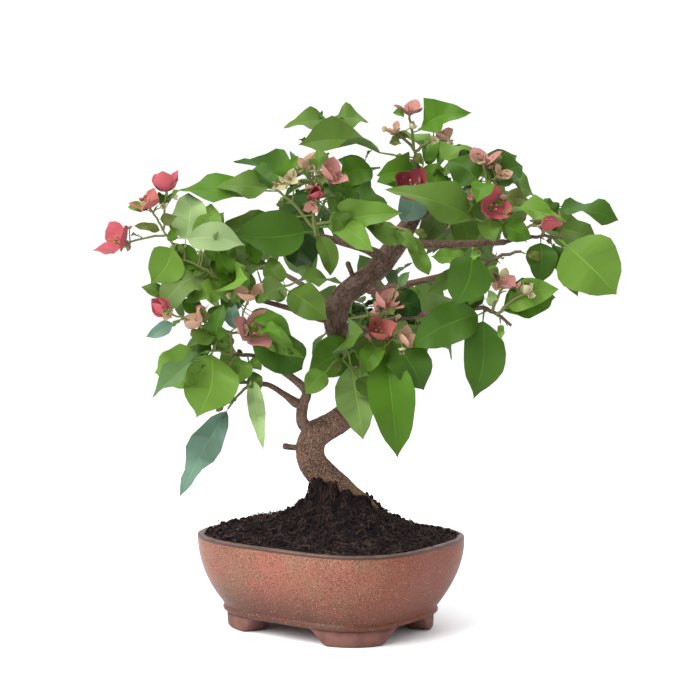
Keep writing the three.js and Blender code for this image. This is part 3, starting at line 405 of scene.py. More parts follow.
LOW_BITS = 0xFFFFFFFF
DRAW_STEP = 0x6D2B79F5
NOISE_PRIMES = np.array([73856093, 19349663, 83492791])
SEED_PRIME = 2654435761
MIX_PRIME = 1274126177
KEY_BITS = 0xFFFF


def unit(v):
    return v / np.linalg.norm(v)


def across(v, axis):
    """The part of v square to a unit axis, as a unit vector."""
    return unit(v - axis * np.dot(v, axis))


def turned(v, axis, angle):
    """v turned about a unit axis."""
    c = math.cos(angle)
    s = math.sin(angle)
    return v * c + np.cross(axis, v) * s + axis * np.dot(axis, v) * (1 - c)


def lerp(a, b, t):
    return a + (b - a) * t


def smoothstep(x, low, high):
    t = np.clip((x - low) / (high - low), 0, 1)
    return t * t * (3 - 2 * t)


def place(spot):
    """A place [right, front, up] as x, y and z of the tree's own frame."""
    right, front, up = spot
    return np.array([right, -front, up], dtype=float)


def heading(bearing, climb):
    """A direction from its bearing, which is 0 to the front and 90 to the right, and its climb."""
    b = math.radians(bearing)
    c = math.radians(climb)
    return np.array([math.sin(b) * math.cos(c), -math.cos(b) * math.cos(c), math.sin(c)])


def seeded(seed):
    """Repeatable random numbers from 0 to 1, the same as in the part's source."""
    state = [seed & LOW_BITS]

    def draw():
        state[0] = (state[0] + DRAW_STEP) & LOW_BITS
        t = state[0]
        t = ((t ^ (t >> 15)) * (t | 1)) & LOW_BITS
        t ^= (t + (t ^ (t >> 7)) * (t | 61)) & LOW_BITS
        return ((t ^ (t >> 14)) & LOW_BITS) / (LOW_BITS + 1)

    return draw


def drawn(chance, limits):
    """A random value between two limits."""
    low, high = limits
    return lerp(low, high, chance())


def drawn_all(chance, ranges):
    """A random value for each named range, drawn in their order."""
    return SimpleNamespace(**{name: drawn(chance, limits) for name, limits in ranges.items()})


def picked(chance, choices):
    return choices[int(chance() * len(choices))]


def jitter(chance):
    """Three random values from -0.5 to 0.5."""
    return np.array([chance() - 0.5 for _ in range(3)])


def smooth_noise(points, seed):
    """Noise from -1 to 1 at an array of points, one unit between its knots."""
    base = np.floor(points)
    part = points - base
    part = part * part * (3 - 2 * part)
    base = base.astype(np.int64)
    total = np.zeros(len(points))
    for corner in range(8):
        step = np.array([corner & 1, (corner >> 1) & 1, (corner >> 2) & 1])
        key = np.bitwise_xor.reduce((base + step) * NOISE_PRIMES, axis=1) ^ (seed * SEED_PRIME)
        key = (key ^ (key >> 13)) * MIX_PRIME & (LOW_BITS >> 1)
        key = (key ^ (key >> 16)) & KEY_BITS
        weight = np.prod(np.where(step == 1, part, 1 - part), axis=1)
        total += weight * (key / (KEY_BITS / 2) - 1)
    return total


def layered_noise(points, seed, layers):
    """Noise in layers, each half as large and half as strong as the one before."""
    total = np.zeros(len(points))
    size = 1.0
    for k in range(layers):
        total += size * smooth_noise(points * 2 ** k, seed + k)
        size *= 0.5
    return total


# Frames: the tree's own frame and the pot's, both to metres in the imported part's frame

POT_LOW, POT_HIGH = (np.array(corner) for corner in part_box("pot"))
POT_MIDDLE = np.array([(POT_LOW[0] + POT_HIGH[0]) / 2, (POT_LOW[1] + POT_HIGH[1]) / 2, 0.0])
TURN_MATRIX = np.array([
    [math.cos(TREE_TURN), -math.sin(TREE_TURN), 0],
    [math.sin(TREE_TURN), math.cos(TREE_TURN), 0],
    [0, 0, 1],
])


def tree_to_part(points):
    return np.asarray(points) @ TURN_MATRIX.T * MM + POT_MIDDLE


def part_to_tree(points):
    return (np.asarray(points) - POT_MIDDLE) / MM @ TURN_MATRIX


def pot_to_part(points):
    return np.asarray(points) * MM + POT_MIDDLE


# Limbs

LIMB_SAMPLES = 401
SPAN_SAMPLES = 120
NEAREST_SAMPLES = 201
LOOK_AHEAD = 0.004
BARK_START = np.array([0.3, -1.0, 0.2])


def spline_through(path):
    """A centripetal spline through a path, as many points."""
    padded = np.vstack([2 * path[0] - path[1], path, 2 * path[-1] - path[-2]])
    t = np.linspace(0, 1, SPAN_SAMPLES)[:, None]
    fine = []
    for i in range(len(path) - 1):
        p0, p1, p2, p3 = padded[i:i + 4]
        d0, d1, d2 = (np.linalg.norm(b - a) ** 0.5 for a, b in ((p0, p1), (p1, p2), (p2, p3)))
        m1 = ((p1 - p0) / d0 - (p2 - p0) / (d0 + d1) + (p2 - p1) / d1) * d1
        m2 = ((p2 - p1) / d1 - (p3 - p1) / (d1 + d2) + (p3 - p2) / d2) * d1
        square = 3 * (p2 - p1) - 2 * m1 - m2
        cube = 2 * (p1 - p2) + m1 + m2
        fine.append(p1 + m1 * t + square * t ** 2 + cube * t ** 3)
    return np.vstack([fine[0]] + [part[1:] for part in fine[1:]])


class Limb:
    """A limb's path as many evenly spaced points, and its radius from root to tip."""

    def __init__(self, path, radii, flared=False):
        self.radii = radii
        self.flared = flared
        fine = spline_through(np.array(path, dtype=float))
        steps = np.linalg.norm(np.diff(fine, axis=0), axis=1)
        run = np.concatenate([[0], np.cumsum(steps)])
        self.length = run[-1]
        even = np.linspace(0, self.length, LIMB_SAMPLES)
        self.points = np.stack([np.interp(even, run, fine[:, k]) for k in range(3)], axis=1)

    def at(self, t):
        x = np.asarray(t) * (LIMB_SAMPLES - 1)
        grid = np.arange(LIMB_SAMPLES)
        return np.stack([np.interp(x, grid, self.points[:, k]) for k in range(3)], axis=-1)

    def radius(self, t):
        return np.interp(t, np.linspace(0, 1, len(self.radii)), self.radii)

    def nearest(self, point):
        samples = self.at(np.linspace(0, 1, NEAREST_SAMPLES))
        return samples[np.argmin(np.linalg.norm(samples - point, axis=1))]

    def sideways(self, stations):
        """Two directions square to the limb at each station, carried along without twist."""
        after = self.at(np.clip(stations + LOOK_AHEAD, 0, 1))
        before = self.at(np.clip(stations - LOOK_AHEAD, 0, 1))
        aheads = after - before
        sides = []
        side = BARK_START
        for i, t in enumerate(stations):
            ahead = unit(aheads[i])
            if self.flared:
                ahead = unit(lerp(ahead, UP, 1 - smoothstep(t, 0, FLARE_REACH)))
            aheads[i] = ahead
            side = across(side, ahead)
            sides.append(side)
        sides = np.array(sides)
        return sides, np.cross(aheads, sides)

    def flare(self, t, turn):
        """How much wider the limb is at its root, with lobes round it."""
        share = (1 - smoothstep(t, 0, FLARE_REACH)) ** FLARE_POWER
        return 1 + share * (FLARE_WIDTH + FLARE_LOBE_DEPTH * np.cos(FLARE_LOBES * turn))


LIMBS = {"trunk": Limb([place(p) for p in TRUNK_PATH], TRUNK_RADII, flared=True)}
for bough_name, (bearer_name, bough_path, bough_radii) in BOUGHS.items():
    bough_places = [place(p) for p in bough_path]
    bough_root = LIMBS[bearer_name].nearest(bough_places[0])
    LIMBS[bough_name] = Limb([bough_root] + bough_places, bough_radii)


# Growth: the same rule as the solids follow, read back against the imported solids

SPRAY_SEED = 500
BLOSSOM_SEED = 200
FILL_SEED = 300
TWIG_SEED = 700
SIDE_SEED = 800

# Where the turns about a shoot and about a blossom start
SHOOT_START = np.array([0.3, -0.2, 1.0])
BLOSSOM_START = np.array([0.2, 1.0, 0.1])

# Lines finer than a shoot: their radii from root to tip, and how far their middle rises
STALK_RADII = (0.75, 0.65, 0.6)
SIDE_TWIG_RADII = (0.9, 0.75, 0.6)
THORN_RADII = (0.8, 0.55, 0.12)
BUD_STALK_RADII = (0.6, 0.5, 0.45)
TWIG_ARCH = 0.6
BUD_ARCH = 0.5

# The middle of a leaf, as a share of its length with the stalk
LEAF_MIDDLE = 0.6


class Shoot:
    """A shoot's gently arched line, with its row of the plan and how many shoots it is from the limb."""

    def __init__(self, row, root, level):
        self.row = row
        self.root = root
        self.level = level
        self.length = row["length"]
        self.ahead = heading(row["bearing"], row["climb"])
        self.side = across(SHOOT_START, self.ahead)

    def at(self, t):
        return self.root + self.ahead * self.length * t + UP * self.length * TWIG_RISE * 4 * t * (1 - t)

    def away(self, turn):
        """The way out from the shoot, turned about it."""
        return turned(self.side, self.ahead, turn)


class Growth:
    """Everything that grows on the limbs: lines of twig, leaves and blossoms."""

    def __init__(self):
        self.woody = []
        self.green = []
        self.leaves = []
        self.blossoms = []

    def add_leaf(self, root, along, up, length, width, tint, stalk=LEAF_STALK):
        """A leaf. A longer stalk is drawn as a line of its own, up to the leaf's own stalk."""
        whole = length * (1 - stalk) / (1 - LEAF_STALK)
        start = root + along * (length - whole)
        if stalk > LEAF_STALK:
            self.add_line(arched(root, start, 0), STALK_RADII, False)
        axes = (along, np.cross(up, along), up)
        scale = np.array([1, width, 1]) * whole
        self.leaves.append(dict(spot=start, axes=axes, scale=scale, tint=tint))

    def add_blossom(self, centre, axis, first, size, tint):
        axes = (first, np.cross(axis, first), axis)
        scale = np.ones(3) * size * BRACT_LENGTH
        self.blossoms.append(dict(spot=centre, axes=axes, scale=scale, tint=tint))

    def add_line(self, points, radii, woody):
        (self.woody if woody else self.green).append((np.array(points), np.array(radii)))


def arched(root, tip, rise):
    """A short line whose middle rises a little."""
    return [root, (root + tip) / 2 + UP * rise, tip]


def light_at(point):
    """The way a leaf faces: up, to the light at the front, and out from the crown's middle."""
    back, front = CROWN_FACING
    frontness = smoothstep(CROWN_CENTRE[1] - point[1], back * CROWN_DEPTH, front * CROWN_DEPTH)
    out = point - CROWN_CENTRE
    out[2] = 0
    return unit(UP * LIGHT_UP + FRONT * LIGHT_FRONT * frontness + unit(out) * LIGHT_OUT)


def gap_finder(name):
    """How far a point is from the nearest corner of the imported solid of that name."""
    mesh = frame["nodes"][name].data
    spots = np.empty(len(mesh.vertices) * 3)
    mesh.vertices.foreach_get("co", spots)
    tree = kdtree.KDTree(len(mesh.vertices))
    for i, spot in enumerate(part_to_tree(spots.reshape(-1, 3))):
        tree.insert(spot, i)
    tree.balance()
    return lambda point: tree.find(point)[2]


def rolled(facing, along, roll):
    """A leaf's upper side: the way it faces, square to its length, rolled about it by degrees."""
    return turned(across(facing, along), along, math.radians(roll))


def kept_turn(is_corner, root, ahead, about, turns, length):
    """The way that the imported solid's leaf points, or None if it has no such leaf."""
    for turn in turns:
        along = turned(ahead, about, math.radians(turn))
        if is_corner(root + along * length):
            return along
    return None


def in_sky_gap(point):
    """Whether a point is seen in a gap of the crown, from where the camera stands."""
    eye = np.array(CAMERA_PLACE)
    seen = eye + (point - eye) * eye[1] / (eye[1] - point[1])
    return any(math.hypot(seen[0] - right, seen[2] - up) < radius for right, up, radius in SKY_GAPS)


def inside_box(point):
    spot = tree_to_part(point)
    return bool(np.all(spot > np.array(cad_low)) and np.all(spot < np.array(cad_high)))


def shoots_of(mass):
    """A mass's shoots, each on its bearer."""
    limb = LIMBS[mass["limb"]]
    start = limb.nearest(place(mass["root"])) if "root" in mass else limb.at(1.0)
    twigs = []
    for row in mass["shoots"]:
        bearer = twigs[row["on"]] if row["on"] >= 0 else None
        root = bearer.at(row["station"]) if bearer else start
        twigs.append(Shoot(row, root, bearer.level + 1 if bearer else 0))
    return twigs


def grow_mass(growth, index, mass):
    """A mass of foliage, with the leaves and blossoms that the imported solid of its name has."""
    gap_to = gap_finder(mass["name"])

    def is_corner(point):
        return gap_to(point) < SAME_PLACE

    twigs = shoots_of(mass)
    spray = seeded(SPRAY_SEED + index)
    tints = [picked(spray, SPRAY_TINTS) for _ in twigs]

    chance = seeded(BLOSSOM_SEED + index)
    for twig in twigs:
        if twig.row["blossom"]:
            grow_blossom(growth, is_corner, twig, chance() * math.tau)

    for row in mass["leaves"]:
        grow_shown_leaf(growth, is_corner, twigs[row["on"]], row)

    chance = seeded(FILL_SEED + index)
    for twig, tint in zip(twigs, tints):
        grow_fill(growth, is_corner, twig, tint, chance)

    chance = seeded(TWIG_SEED + index)
    for twig in twigs:
        grow_twig(growth, twig, chance)

    chance = seeded(SIDE_SEED + index)
    for twig, tint in zip(twigs, tints):
        grow_side_leaves(growth, gap_to, twig, SIDE_LEAVES[mass["name"]], tint, chance)


def blossom_axis(twig):
    return unit(twig.ahead + light_at(twig.at(1)) * BLOSSOM_LIGHT + UP * BLOSSOM_UP)


def blossom_first(axis, spin):
    """The way that a blossom's first bract leans."""
    return turned(across(BLOSSOM_START, axis), axis, spin)


def grow_blossom(growth, is_corner, twig, spin):
    """The blossom at a shoot's end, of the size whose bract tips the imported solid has."""
    centre = twig.at(1)
    axis = blossom_axis(twig)
    first = blossom_first(axis, spin)
    for share in BLOSSOM_SHARES:
        size = share * twig.row["blossom"]
        found = 0
        for k in range(BRACTS):
            out = turned(first, axis, k * math.tau / BRACTS)
            found += is_corner(centre + out * BRACT_OUT * size + axis * BRACT_RISE * size)
        if found >= BRACTS_FOUND:
            growth.add_blossom(centre, axis, first, size, twig.row["tint"])
            return


def grow_shown_leaf(growth, is_corner, twig, row):
    """A leaf that shows by itself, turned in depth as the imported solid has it."""
    root = twig.at(row["station"])
    ahead = heading(row["bearing"], -row["droop"])
    about = unit(np.cross(ahead, FRONT))
    along = kept_turn(is_corner, root, ahead, about, DEPTH_TURNS, row["length"])
    if along is not None:
        up = across(lerp(UP, FRONT, row["face"]), along)
        growth.add_leaf(root, along, up, row["length"], row["width"], row["tint"], row["stalk"])


FILL_STATIONS = (0.3, 0.98)
FILL_RANGES = dict(step=(0.2, 0.8), length=FILL_LENGTH, lean=(0.3, 0.7), droop=(-0.1, 0.45), roll=(-25, 25))


def grow_fill(growth, is_corner, twig, tint, chance):
    """The leaves that follow a golden-angle rule on their shoot."""
    first = chance() * math.tau
    count = twig.row["leaves"]
    for k in range(count):
        own = drawn_all(chance, FILL_RANGES)
        root = twig.at(lerp(*FILL_STATIONS, (k + own.step) / count))
        ahead = unit(twig.away(first + k * GOLDEN_ANGLE) + twig.ahead * own.lean - UP * own.droop)
        along = kept_turn(is_corner, root, ahead, twig.ahead, TRY_TURNS, own.length)
        if along is not None and not in_sky_gap(root + along * own.length * LEAF_MIDDLE):
            growth.add_leaf(root, along, rolled(light_at(root), along, own.roll), own.length, 1, tint)


SIDE_STATIONS = (0.1, 1.0)
SIDE_RANGES = dict(
    step=(0, 1), lean=(0.2, 0.9), twig=(5, 20), length=SIDE_LENGTH, width=(0.85, 1.1), droop=(-0.1, 0.6),
    roll=(-30, 30),
)


def grow_side_leaves(growth, gap_to, twig, count, tint, chance):
    """Smaller leaves on short side twigs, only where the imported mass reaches."""
    first = chance() * math.tau
    for k in range(count):
        own = drawn_all(chance, SIDE_RANGES)
        root = twig.at(lerp(*SIDE_STATIONS, (k + own.step) / count))
        away = twig.away(first + k * GOLDEN_ANGLE)
        ahead = unit(away + twig.ahead * own.lean - FRONT * SIDE_RETREAT)
        along = unit(ahead - UP * own.droop)
        foot = root + ahead * own.twig
        tip = foot + along * own.length
        middle = (foot + tip) / 2
        if max(gap_to(tip), gap_to(middle)) > SIDE_REACH or not inside_box(tip) or in_sky_gap(middle):
            continue
        up = rolled(light_at(foot), along, own.roll)
        growth.add_line(arched(root, foot, TWIG_ARCH), SIDE_TWIG_RADII, False)
        growth.add_leaf(foot, along, up, own.length, own.width, tint)


TWIG_POINTS = 8
TWIG_TAPER = 0.8
KINK_SHARE = 0.05
KINK_LIMIT = 2.2


def grow_twig(growth, twig, chance):
    """The shoot itself, a little kinked, with young leaves, thorns and buds."""
    last = len(TWIG_RADII) - 1
    thick = TWIG_RADII[min(twig.level, last)]
    thin = TWIG_RADII[min(twig.level + 1, last)] * TWIG_TAPER
    stations = np.linspace(0, 1, TWIG_POINTS)
    kink = np.array([jitter(chance) for _ in stations])
    kink[0] = 0
    kink[-1] = 0
    points = np.array([twig.at(t) for t in stations]) + kink * min(KINK_LIMIT, KINK_SHARE * twig.length)
    woody = twig.level == 0 and not twig.row["blossom"]
    growth.add_line(points, lerp(thick, thin, stations), woody)
    grow_young_leaves(growth, twig, thin, chance)
    if woody:
        grow_thorns(growth, twig, chance)
    if twig.row["blossom"]:
        grow_buds(growth, twig, chance)


YOUNG_MOST = 2
YOUNG_STATIONS = (0.35, 1.0)
YOUNG_RANGES = dict(step=(0, 1), lean=(0.5, 1.2), twig=(4, 9), length=(9, 18), roll=(-30, 30))
YOUNG_TWIG_SHARES = np.array([0.75, 0.6, 0.45])
YOUNG_WIDTH = (0.8, 1)
YOUNG_DROOP = 0.2


def grow_young_leaves(growth, twig, girth, chance):
    """One or two young leaves on short side twigs."""
    first = chance() * math.tau
    tint = picked(chance, YOUNG_TINTS)
    count = 1 + int(chance() * YOUNG_MOST)
    for k in range(count):
        own = drawn_all(chance, YOUNG_RANGES)
        root = twig.at(lerp(*YOUNG_STATIONS, (k + own.step) / count))
        ahead = unit(twig.away(first + k * GOLDEN_ANGLE) + twig.ahead * own.lean)
        foot = root + ahead * own.twig
        if not inside_box(foot + ahead * own.length):
            continue
        along = unit(ahead - UP * YOUNG_DROOP)
        up = rolled(light_at(foot), along, own.roll)
        growth.add_line(arched(root, foot, TWIG_ARCH), girth * YOUNG_TWIG_SHARES, False)
        growth.add_leaf(foot, along, up, own.length, drawn(chance, YOUNG_WIDTH), tint)


THORNS = 2
THORN_STATIONS = (0.2, 0.9)
THORN_LEAN = 0.4
THORN_LENGTH = (5, 9)


def grow_thorns(growth, twig, chance):
    for _ in range(THORNS):
        root = twig.at(drawn(chance, THORN_STATIONS))
        ahead = unit(twig.away(chance() * math.tau) + THORN_LEAN * twig.ahead)
        tip = root + ahead * drawn(chance, THORN_LENGTH)
        growth.add_line(arched(root, tip, 0), THORN_RADII, True)


BUDS_MOST = 3
BUD_RANGES = dict(lean=(0.2, 1.0), station=(0.7, 0.98), stalk=(6, 14), size=(0.25, 0.5), spin=(0, math.tau))


def grow_buds(growth, twig, chance):
    """Small buds and half-open bracts round a blossom, on thin stalks."""
    axis = blossom_axis(twig)
    side = across(SHOOT_START, axis)
    first = chance() * math.tau
    count = 1 + int(chance() * BUDS_MOST)
    for k in range(count):
        own = drawn_all(chance, BUD_RANGES)
        tint = picked(chance, BUD_TINTS)
        ahead = unit(turned(side, axis, first + k * GOLDEN_ANGLE) + axis * own.lean)
        root = twig.at(own.station)
        tip = root + ahead * own.stalk
        if not inside_box(tip + ahead * BRACT_LENGTH * own.size):
            continue
        growth.add_line(arched(root, tip, BUD_ARCH), BUD_STALK_RADII, False)
        growth.add_blossom(tip, ahead, blossom_first(ahead, own.spin), own.size, tint)


growth = Growth()
for mass_index, mass_row in enumerate(FOLIAGE):
    grow_mass(growth, mass_index, mass_row)


# Meshes

def set_values(mesh, key, kind, domain, values):
    """Gives a mesh a named value, or a named vector, on each point or face."""
    attribute = mesh.attributes.new(key, kind, domain)
    field = "vector" if kind == "FLOAT_VECTOR" else "value"
    number = np.int32 if kind == "INT" else np.float32
    attribute.data.foreach_set(field, np.asarray(values, dtype=number).ravel())


def make_mesh(name, points, faces, materials=(), zones=None, values=None):
    """A mesh from points and faces, with a material number per face and named values per point."""
    mesh = bpy.data.meshes.new(name)
    mesh.from_pydata([tuple(p) for p in points], [], faces)
    for material in materials:
        mesh.materials.append(material)
    mesh.polygons.foreach_set("use_smooth", [True] * len(mesh.polygons))
    if zones is not None:
        mesh.polygons.foreach_set("material_index", zones)
    for key, numbers in (values or {}).items():
        set_values(mesh, key, "FLOAT", "POINT", numbers)
    mesh.update()
    return mesh


def make_object(name, mesh):
    piece = bpy.data.objects.new(name, mesh)
    bpy.context.scene.collection.objects.link(piece)
    return piece


def ring_faces(rings, sides):
    """Faces of a skin over rings of points, closed by a middle point at each end."""
    faces = []
    for i in range(rings - 1):
        for j in range(sides):
            a = i * sides + j
            b = i * sides + (j + 1) % sides
            faces.append((a, b, b + sides, a + sides))
    first_middle = rings * sides
    last = (rings - 1) * sides
    faces += [((j + 1) % sides, j, first_middle) for j in range(sides)]
    faces += [(last + j, last + (j + 1) % sides, first_middle + 1) for j in range(sides)]
    return faces


def moved_faces(faces, count):
    """Faces whose points come after so many others."""
    return [tuple(count + k for k in face) for face in faces]


# Bark relief. Depths are millimetres, and the broad lumps are a share of the radius.

FISSURE_DEPTH = 0.7
STUB_DEPTH = 0.6
ROOT_DEPTH = 0.5
BOUGH_DEPTH = 0.32
PEBBLE_SHARE = 0.45
LUMP_SHARE = 0.055
# Knots of noise per millimetre, round the limb and along it
STREAK_GRAIN = (0.75, 0.065)
PEBBLE_GRAIN = (0.62, 0.55)
LUMP_GRAIN = (0.09, 0.045)
PEBBLE_SEED = 40
LUMP_SEED = 20
CRACK_EDGE = (0.80, 1.0)
PEBBLE_EDGE = (0.15, 0.8)
YOUNG_GROOVE = 0.5
# How old the bark is, and between which shares of the trunk it turns old
STUB_AGE = 0.9
BOUGH_AGE = 0.55
ROOT_AGE = 0.1
AGEING = (0.15, 0.5)
# A dead end narrows at its cut
STUB_TAPER = (1, 0.8, 0.95)
CUT_REACH = (0.93, 1.0)
CUT_LOSS = 0.35
# Moss low on the trunk's right
MOSS_HEIGHTS = (114, 131)
MOSS_RIGHT = (2, 18)
# A limb swells where another leaves it, and at its own root
COLLAR_SPREAD = 9
COLLAR_SWELL = 1.5
FORK_SWELL = 1.0
BOUGH_ROOT_SWELL = 1.2
# A knot on the lower bend of the trunk
KNOT_PLACE = (-22, 8, 160)
KNOT_SWELL = 1.6
LEAST_RINGS = 4
EXIT_SAMPLES = 101


def bark_relief(ring, run, oldness, seed):
    """How far each point of a skin is in a groove, on a pebble and on a broad lump."""

    def grained(grain):
        round_knots, along_knots = grain
        return np.column_stack([ring * round_knots, run * along_knots])

    pebble = smooth_noise(grained(PEBBLE_GRAIN), seed + PEBBLE_SEED)
    crack = smoothstep(1 - np.abs(layered_noise(grained(STREAK_GRAIN), seed, 2)), *CRACK_EDGE)
    groove = lerp(YOUNG_GROOVE * smoothstep(-pebble, *PEBBLE_EDGE), crack, oldness)
    lump = layered_noise(grained(LUMP_GRAIN), seed + LUMP_SEED, 2)
    return groove, pebble, lump


class BarkSkin:
    """Collects the limbs' skins, with how deep in a groove, how mossy and how old each point is."""

    def __init__(self):
        self.points = []
        self.faces = []
        self.values = {"groove": [], "moss": [], "age": []}
        self.count = 0

    def add(self, limb, sides, spacing, seed, depth, swells=(), age=0.0, blunt=False):
        """Adds a limb's skin: rings of points about its path, raised and cut by noise."""
        rings = max(LEAST_RINGS, int(limb.length / spacing))
        stations = np.linspace(0, 1, rings)
        t = np.repeat(stations, sides)
        turn = np.tile(np.arange(sides) * math.tau / sides, rings)
        radius = limb.radius(t)
        if limb.flared:
            radius = radius * limb.flare(t, turn)
        if blunt:
            radius = radius * (1 - CUT_LOSS * smoothstep(t, *CUT_REACH))
        oldness = lerp(age, 1, smoothstep(t, *AGEING)) if limb.flared else np.full(len(t), age)
        ring = np.stack([np.cos(turn), np.sin(turn)], axis=1)
        groove, pebble, lump = bark_relief(ring * radius[:, None], t * limb.length, oldness, seed)
        radius = radius * (1 + LUMP_SHARE * lump)
        radius = radius - depth * groove + PEBBLE_SHARE * depth * pebble
        left, right = limb.sideways(stations)
        out = np.repeat(left, sides, axis=0) * ring[:, :1]
        out += np.repeat(right, sides, axis=0) * ring[:, 1:]
        points = np.repeat(limb.at(stations), sides, axis=0) + out * radius[:, None]
        for spot, swell in swells:
            near = np.exp(-((np.linalg.norm(points - spot, axis=1) / COLLAR_SPREAD) ** 2))
            points += out * (swell * near)[:, None]
        points = np.vstack([points, limb.at(0.0), limb.at(1.0)])
        moss = (1 - smoothstep(points[:, 2], *MOSS_HEIGHTS)) * smoothstep(points[:, 0], *MOSS_RIGHT)
        self.points.append(points)
        self.values["groove"].append(np.concatenate([groove, [0, 0]]))
        self.values["moss"].append(moss)
        self.values["age"].append(np.concatenate([oldness, oldness[[0, -1]]]))
        self.faces += moved_faces(ring_faces(rings, sides), self.count)
        self.count += len(points)

    def mesh(self, name, material):
        values = {key: np.concatenate(parts) for key, parts in self.values.items()}
        points = tree_to_part(np.vstack(self.points))
        return make_mesh(name, points, self.faces, [material], values=values)


def surface_exit(limb, bearer):
    """Where a limb comes out of the limb that bears it, or its tip if it stays inside."""
    for t in np.linspace(0, 1, EXIT_SAMPLES):
        spot = limb.at(t)
        gaps = np.linalg.norm(bearer.points - spot, axis=1)
        nearest = np.argmin(gaps)
        if gaps[nearest] > bearer.radius(nearest / (LIMB_SAMPLES - 1)):
            return spot
    return limb.at(1.0)


def forks_of(name, swell):
    """Where other boughs leave a limb, and how far it swells there."""
    return [
        (surface_exit(LIMBS[other], LIMBS[name]), swell)
        for other, (bearer, _, _) in BOUGHS.items() if bearer == name
    ]


def grow_trunk(material):
    """The trunk with its dead ends, its side root and the foot that goes on into the soil."""
    skin = BarkSkin()
    swells = forks_of("trunk", COLLAR_SWELL) + [(place(KNOT_PLACE), KNOT_SWELL)]
    skin.add(LIMBS["trunk"], sides=84, spacing=1.15, seed=3, depth=FISSURE_DEPTH, swells=swells)
    for k, (at, bearing, climb, length, radius) in enumerate(STUBS):
        root = place(at)
        reach = heading(bearing, climb) * length
        stub = Limb([root, root + reach * 0.5 + UP, root + reach], [radius * share for share in STUB_TAPER])
        skin.add(stub, sides=22, spacing=0.9, seed=60 + k, depth=STUB_DEPTH, age=STUB_AGE, blunt=True)
    side_root = Limb([place(p) for p in SIDE_ROOT_PATH], SIDE_ROOT_RADII)
    skin.add(side_root, sides=48, spacing=1.2, seed=71, depth=ROOT_DEPTH, age=ROOT_AGE)
    stump = Limb([place(p) for p in STUMP_PATH], STUMP_RADII)
    skin.add(stump, sides=64, spacing=1.2, seed=75, depth=ROOT_DEPTH, age=ROOT_AGE)
    return skin.mesh("trunk_bark", material)


def grow_boughs(material):
    skin = BarkSkin()
    for k, (name, (bearer, _, _)) in enumerate(BOUGHS.items()):
        limb = LIMBS[name]
        swells = forks_of(name, FORK_SWELL) + [(surface_exit(limb, LIMBS[bearer]), BOUGH_ROOT_SWELL)]
        skin.add(limb, sides=30, spacing=1.3, seed=100 + k, depth=BOUGH_DEPTH, swells=swells, age=BOUGH_AGE)
    return skin.mesh("bough_bark", material)


# Node trees

ZONES = ("First zone", "Second zone", "Third zone")
CRUMB_SHAPES = 6
CRUMB_TURN = (6.28, 6.28, 6.28)
CRUMB_RARITY = 2.6


class NodeMaker:
    """Adds nodes to a tree and links them."""

    def __init__(self, tree):
        self.tree = tree

    def add(self, kind, settings=None, **links):
        """A node with its settings. Each link or value goes to the input named by its keyword."""
        node = self.tree.nodes.new(kind)
        for key, value in (settings or {}).items():
            setattr(node, key, value)
        for key, value in links.items():
            self.feed(node, key.replace("_", " "), value)
        return node

    def feed(self, node, key, value):
        sockets = [s for s in node.inputs if s.enabled and (s.name == key or s.identifier == key)]
        self.fill(sockets[0], value)

    def fill(self, socket, value):
        if isinstance(value, bpy.types.NodeSocket):
            self.tree.links.new(value, socket)
        elif isinstance(value, bpy.types.Node):
            self.tree.links.new(value.outputs[0], socket)
        else:
            socket.default_value = value

    def combine(self, operation, first, second):
        """Two values put together by a math operation."""
        node = self.add("ShaderNodeMath", {"operation": operation})
        self.fill(node.inputs[0], first)
        self.fill(node.inputs[1], second)
        return node.outputs[0]


def named(maker, name, kind):
    return maker.add("GeometryNodeInputNamedAttribute", {"data_type": kind}, Name=name).outputs["Attribute"]


def new_geometry_tree(name, inputs):
    tree = bpy.data.node_groups.new(name, "GeometryNodeTree")
    tree.interface.new_socket("Geometry", in_out="INPUT", socket_type="NodeSocketGeometry")
    for title, kind in inputs:
        tree.interface.new_socket(title, in_out="INPUT", socket_type=kind)
    tree.interface.new_socket("Geometry", in_out="OUTPUT", socket_type="NodeSocketGeometry")
    maker = NodeMaker(tree)
    return tree, maker, maker.add("NodeGroupInput")


def shapes_to_pick(maker, entry):
    return maker.add("GeometryNodeCollectionInfo", Collection=entry.outputs["Shapes"],
                     Separate_Children=True, Reset_Children=True)


def close_tree(maker, geometry, material):
    """Ends a tree with real geometry in one material."""
    whole = maker.add("GeometryNodeRealizeInstances", Geometry=geometry)
    done = maker.add("GeometryNodeSetMaterial", Geometry=whole, Material=material)
    maker.add("NodeGroupOutput", Geometry=done)


def spread_tree():
    """Puts a shape on each point by the point's own aim, size and variety, with a material per zone."""
    inputs = [("Shapes", "NodeSocketCollection")] + [(title, "NodeSocketMaterial") for title in ZONES]
    tree, maker, entry = new_geometry_tree("Spread on points", inputs)
    aim = maker.add("FunctionNodeEulerToRotation", Euler=named(maker, "aim", "FLOAT_VECTOR"))
    spread = maker.add("GeometryNodeInstanceOnPoints", Points=entry.outputs["Geometry"],
                       Instance=shapes_to_pick(maker, entry), Pick_Instance=True,
                       Instance_Index=named(maker, "variety", "INT"), Rotation=aim,
                       Scale=named(maker, "size", "FLOAT_VECTOR"))
    geometry = maker.add("GeometryNodeRealizeInstances", Geometry=spread)
    zone = named(maker, "zone", "INT")
    for k, title in enumerate(ZONES):
        chosen = maker.add("FunctionNodeCompare", {"data_type": "INT", "operation": "EQUAL"}, A=zone, B=k)
        geometry = maker.add("GeometryNodeSetMaterial", Geometry=geometry, Selection=chosen,
                             Material=entry.outputs[title])
    maker.add("NodeGroupOutput", Geometry=geometry)
    return tree


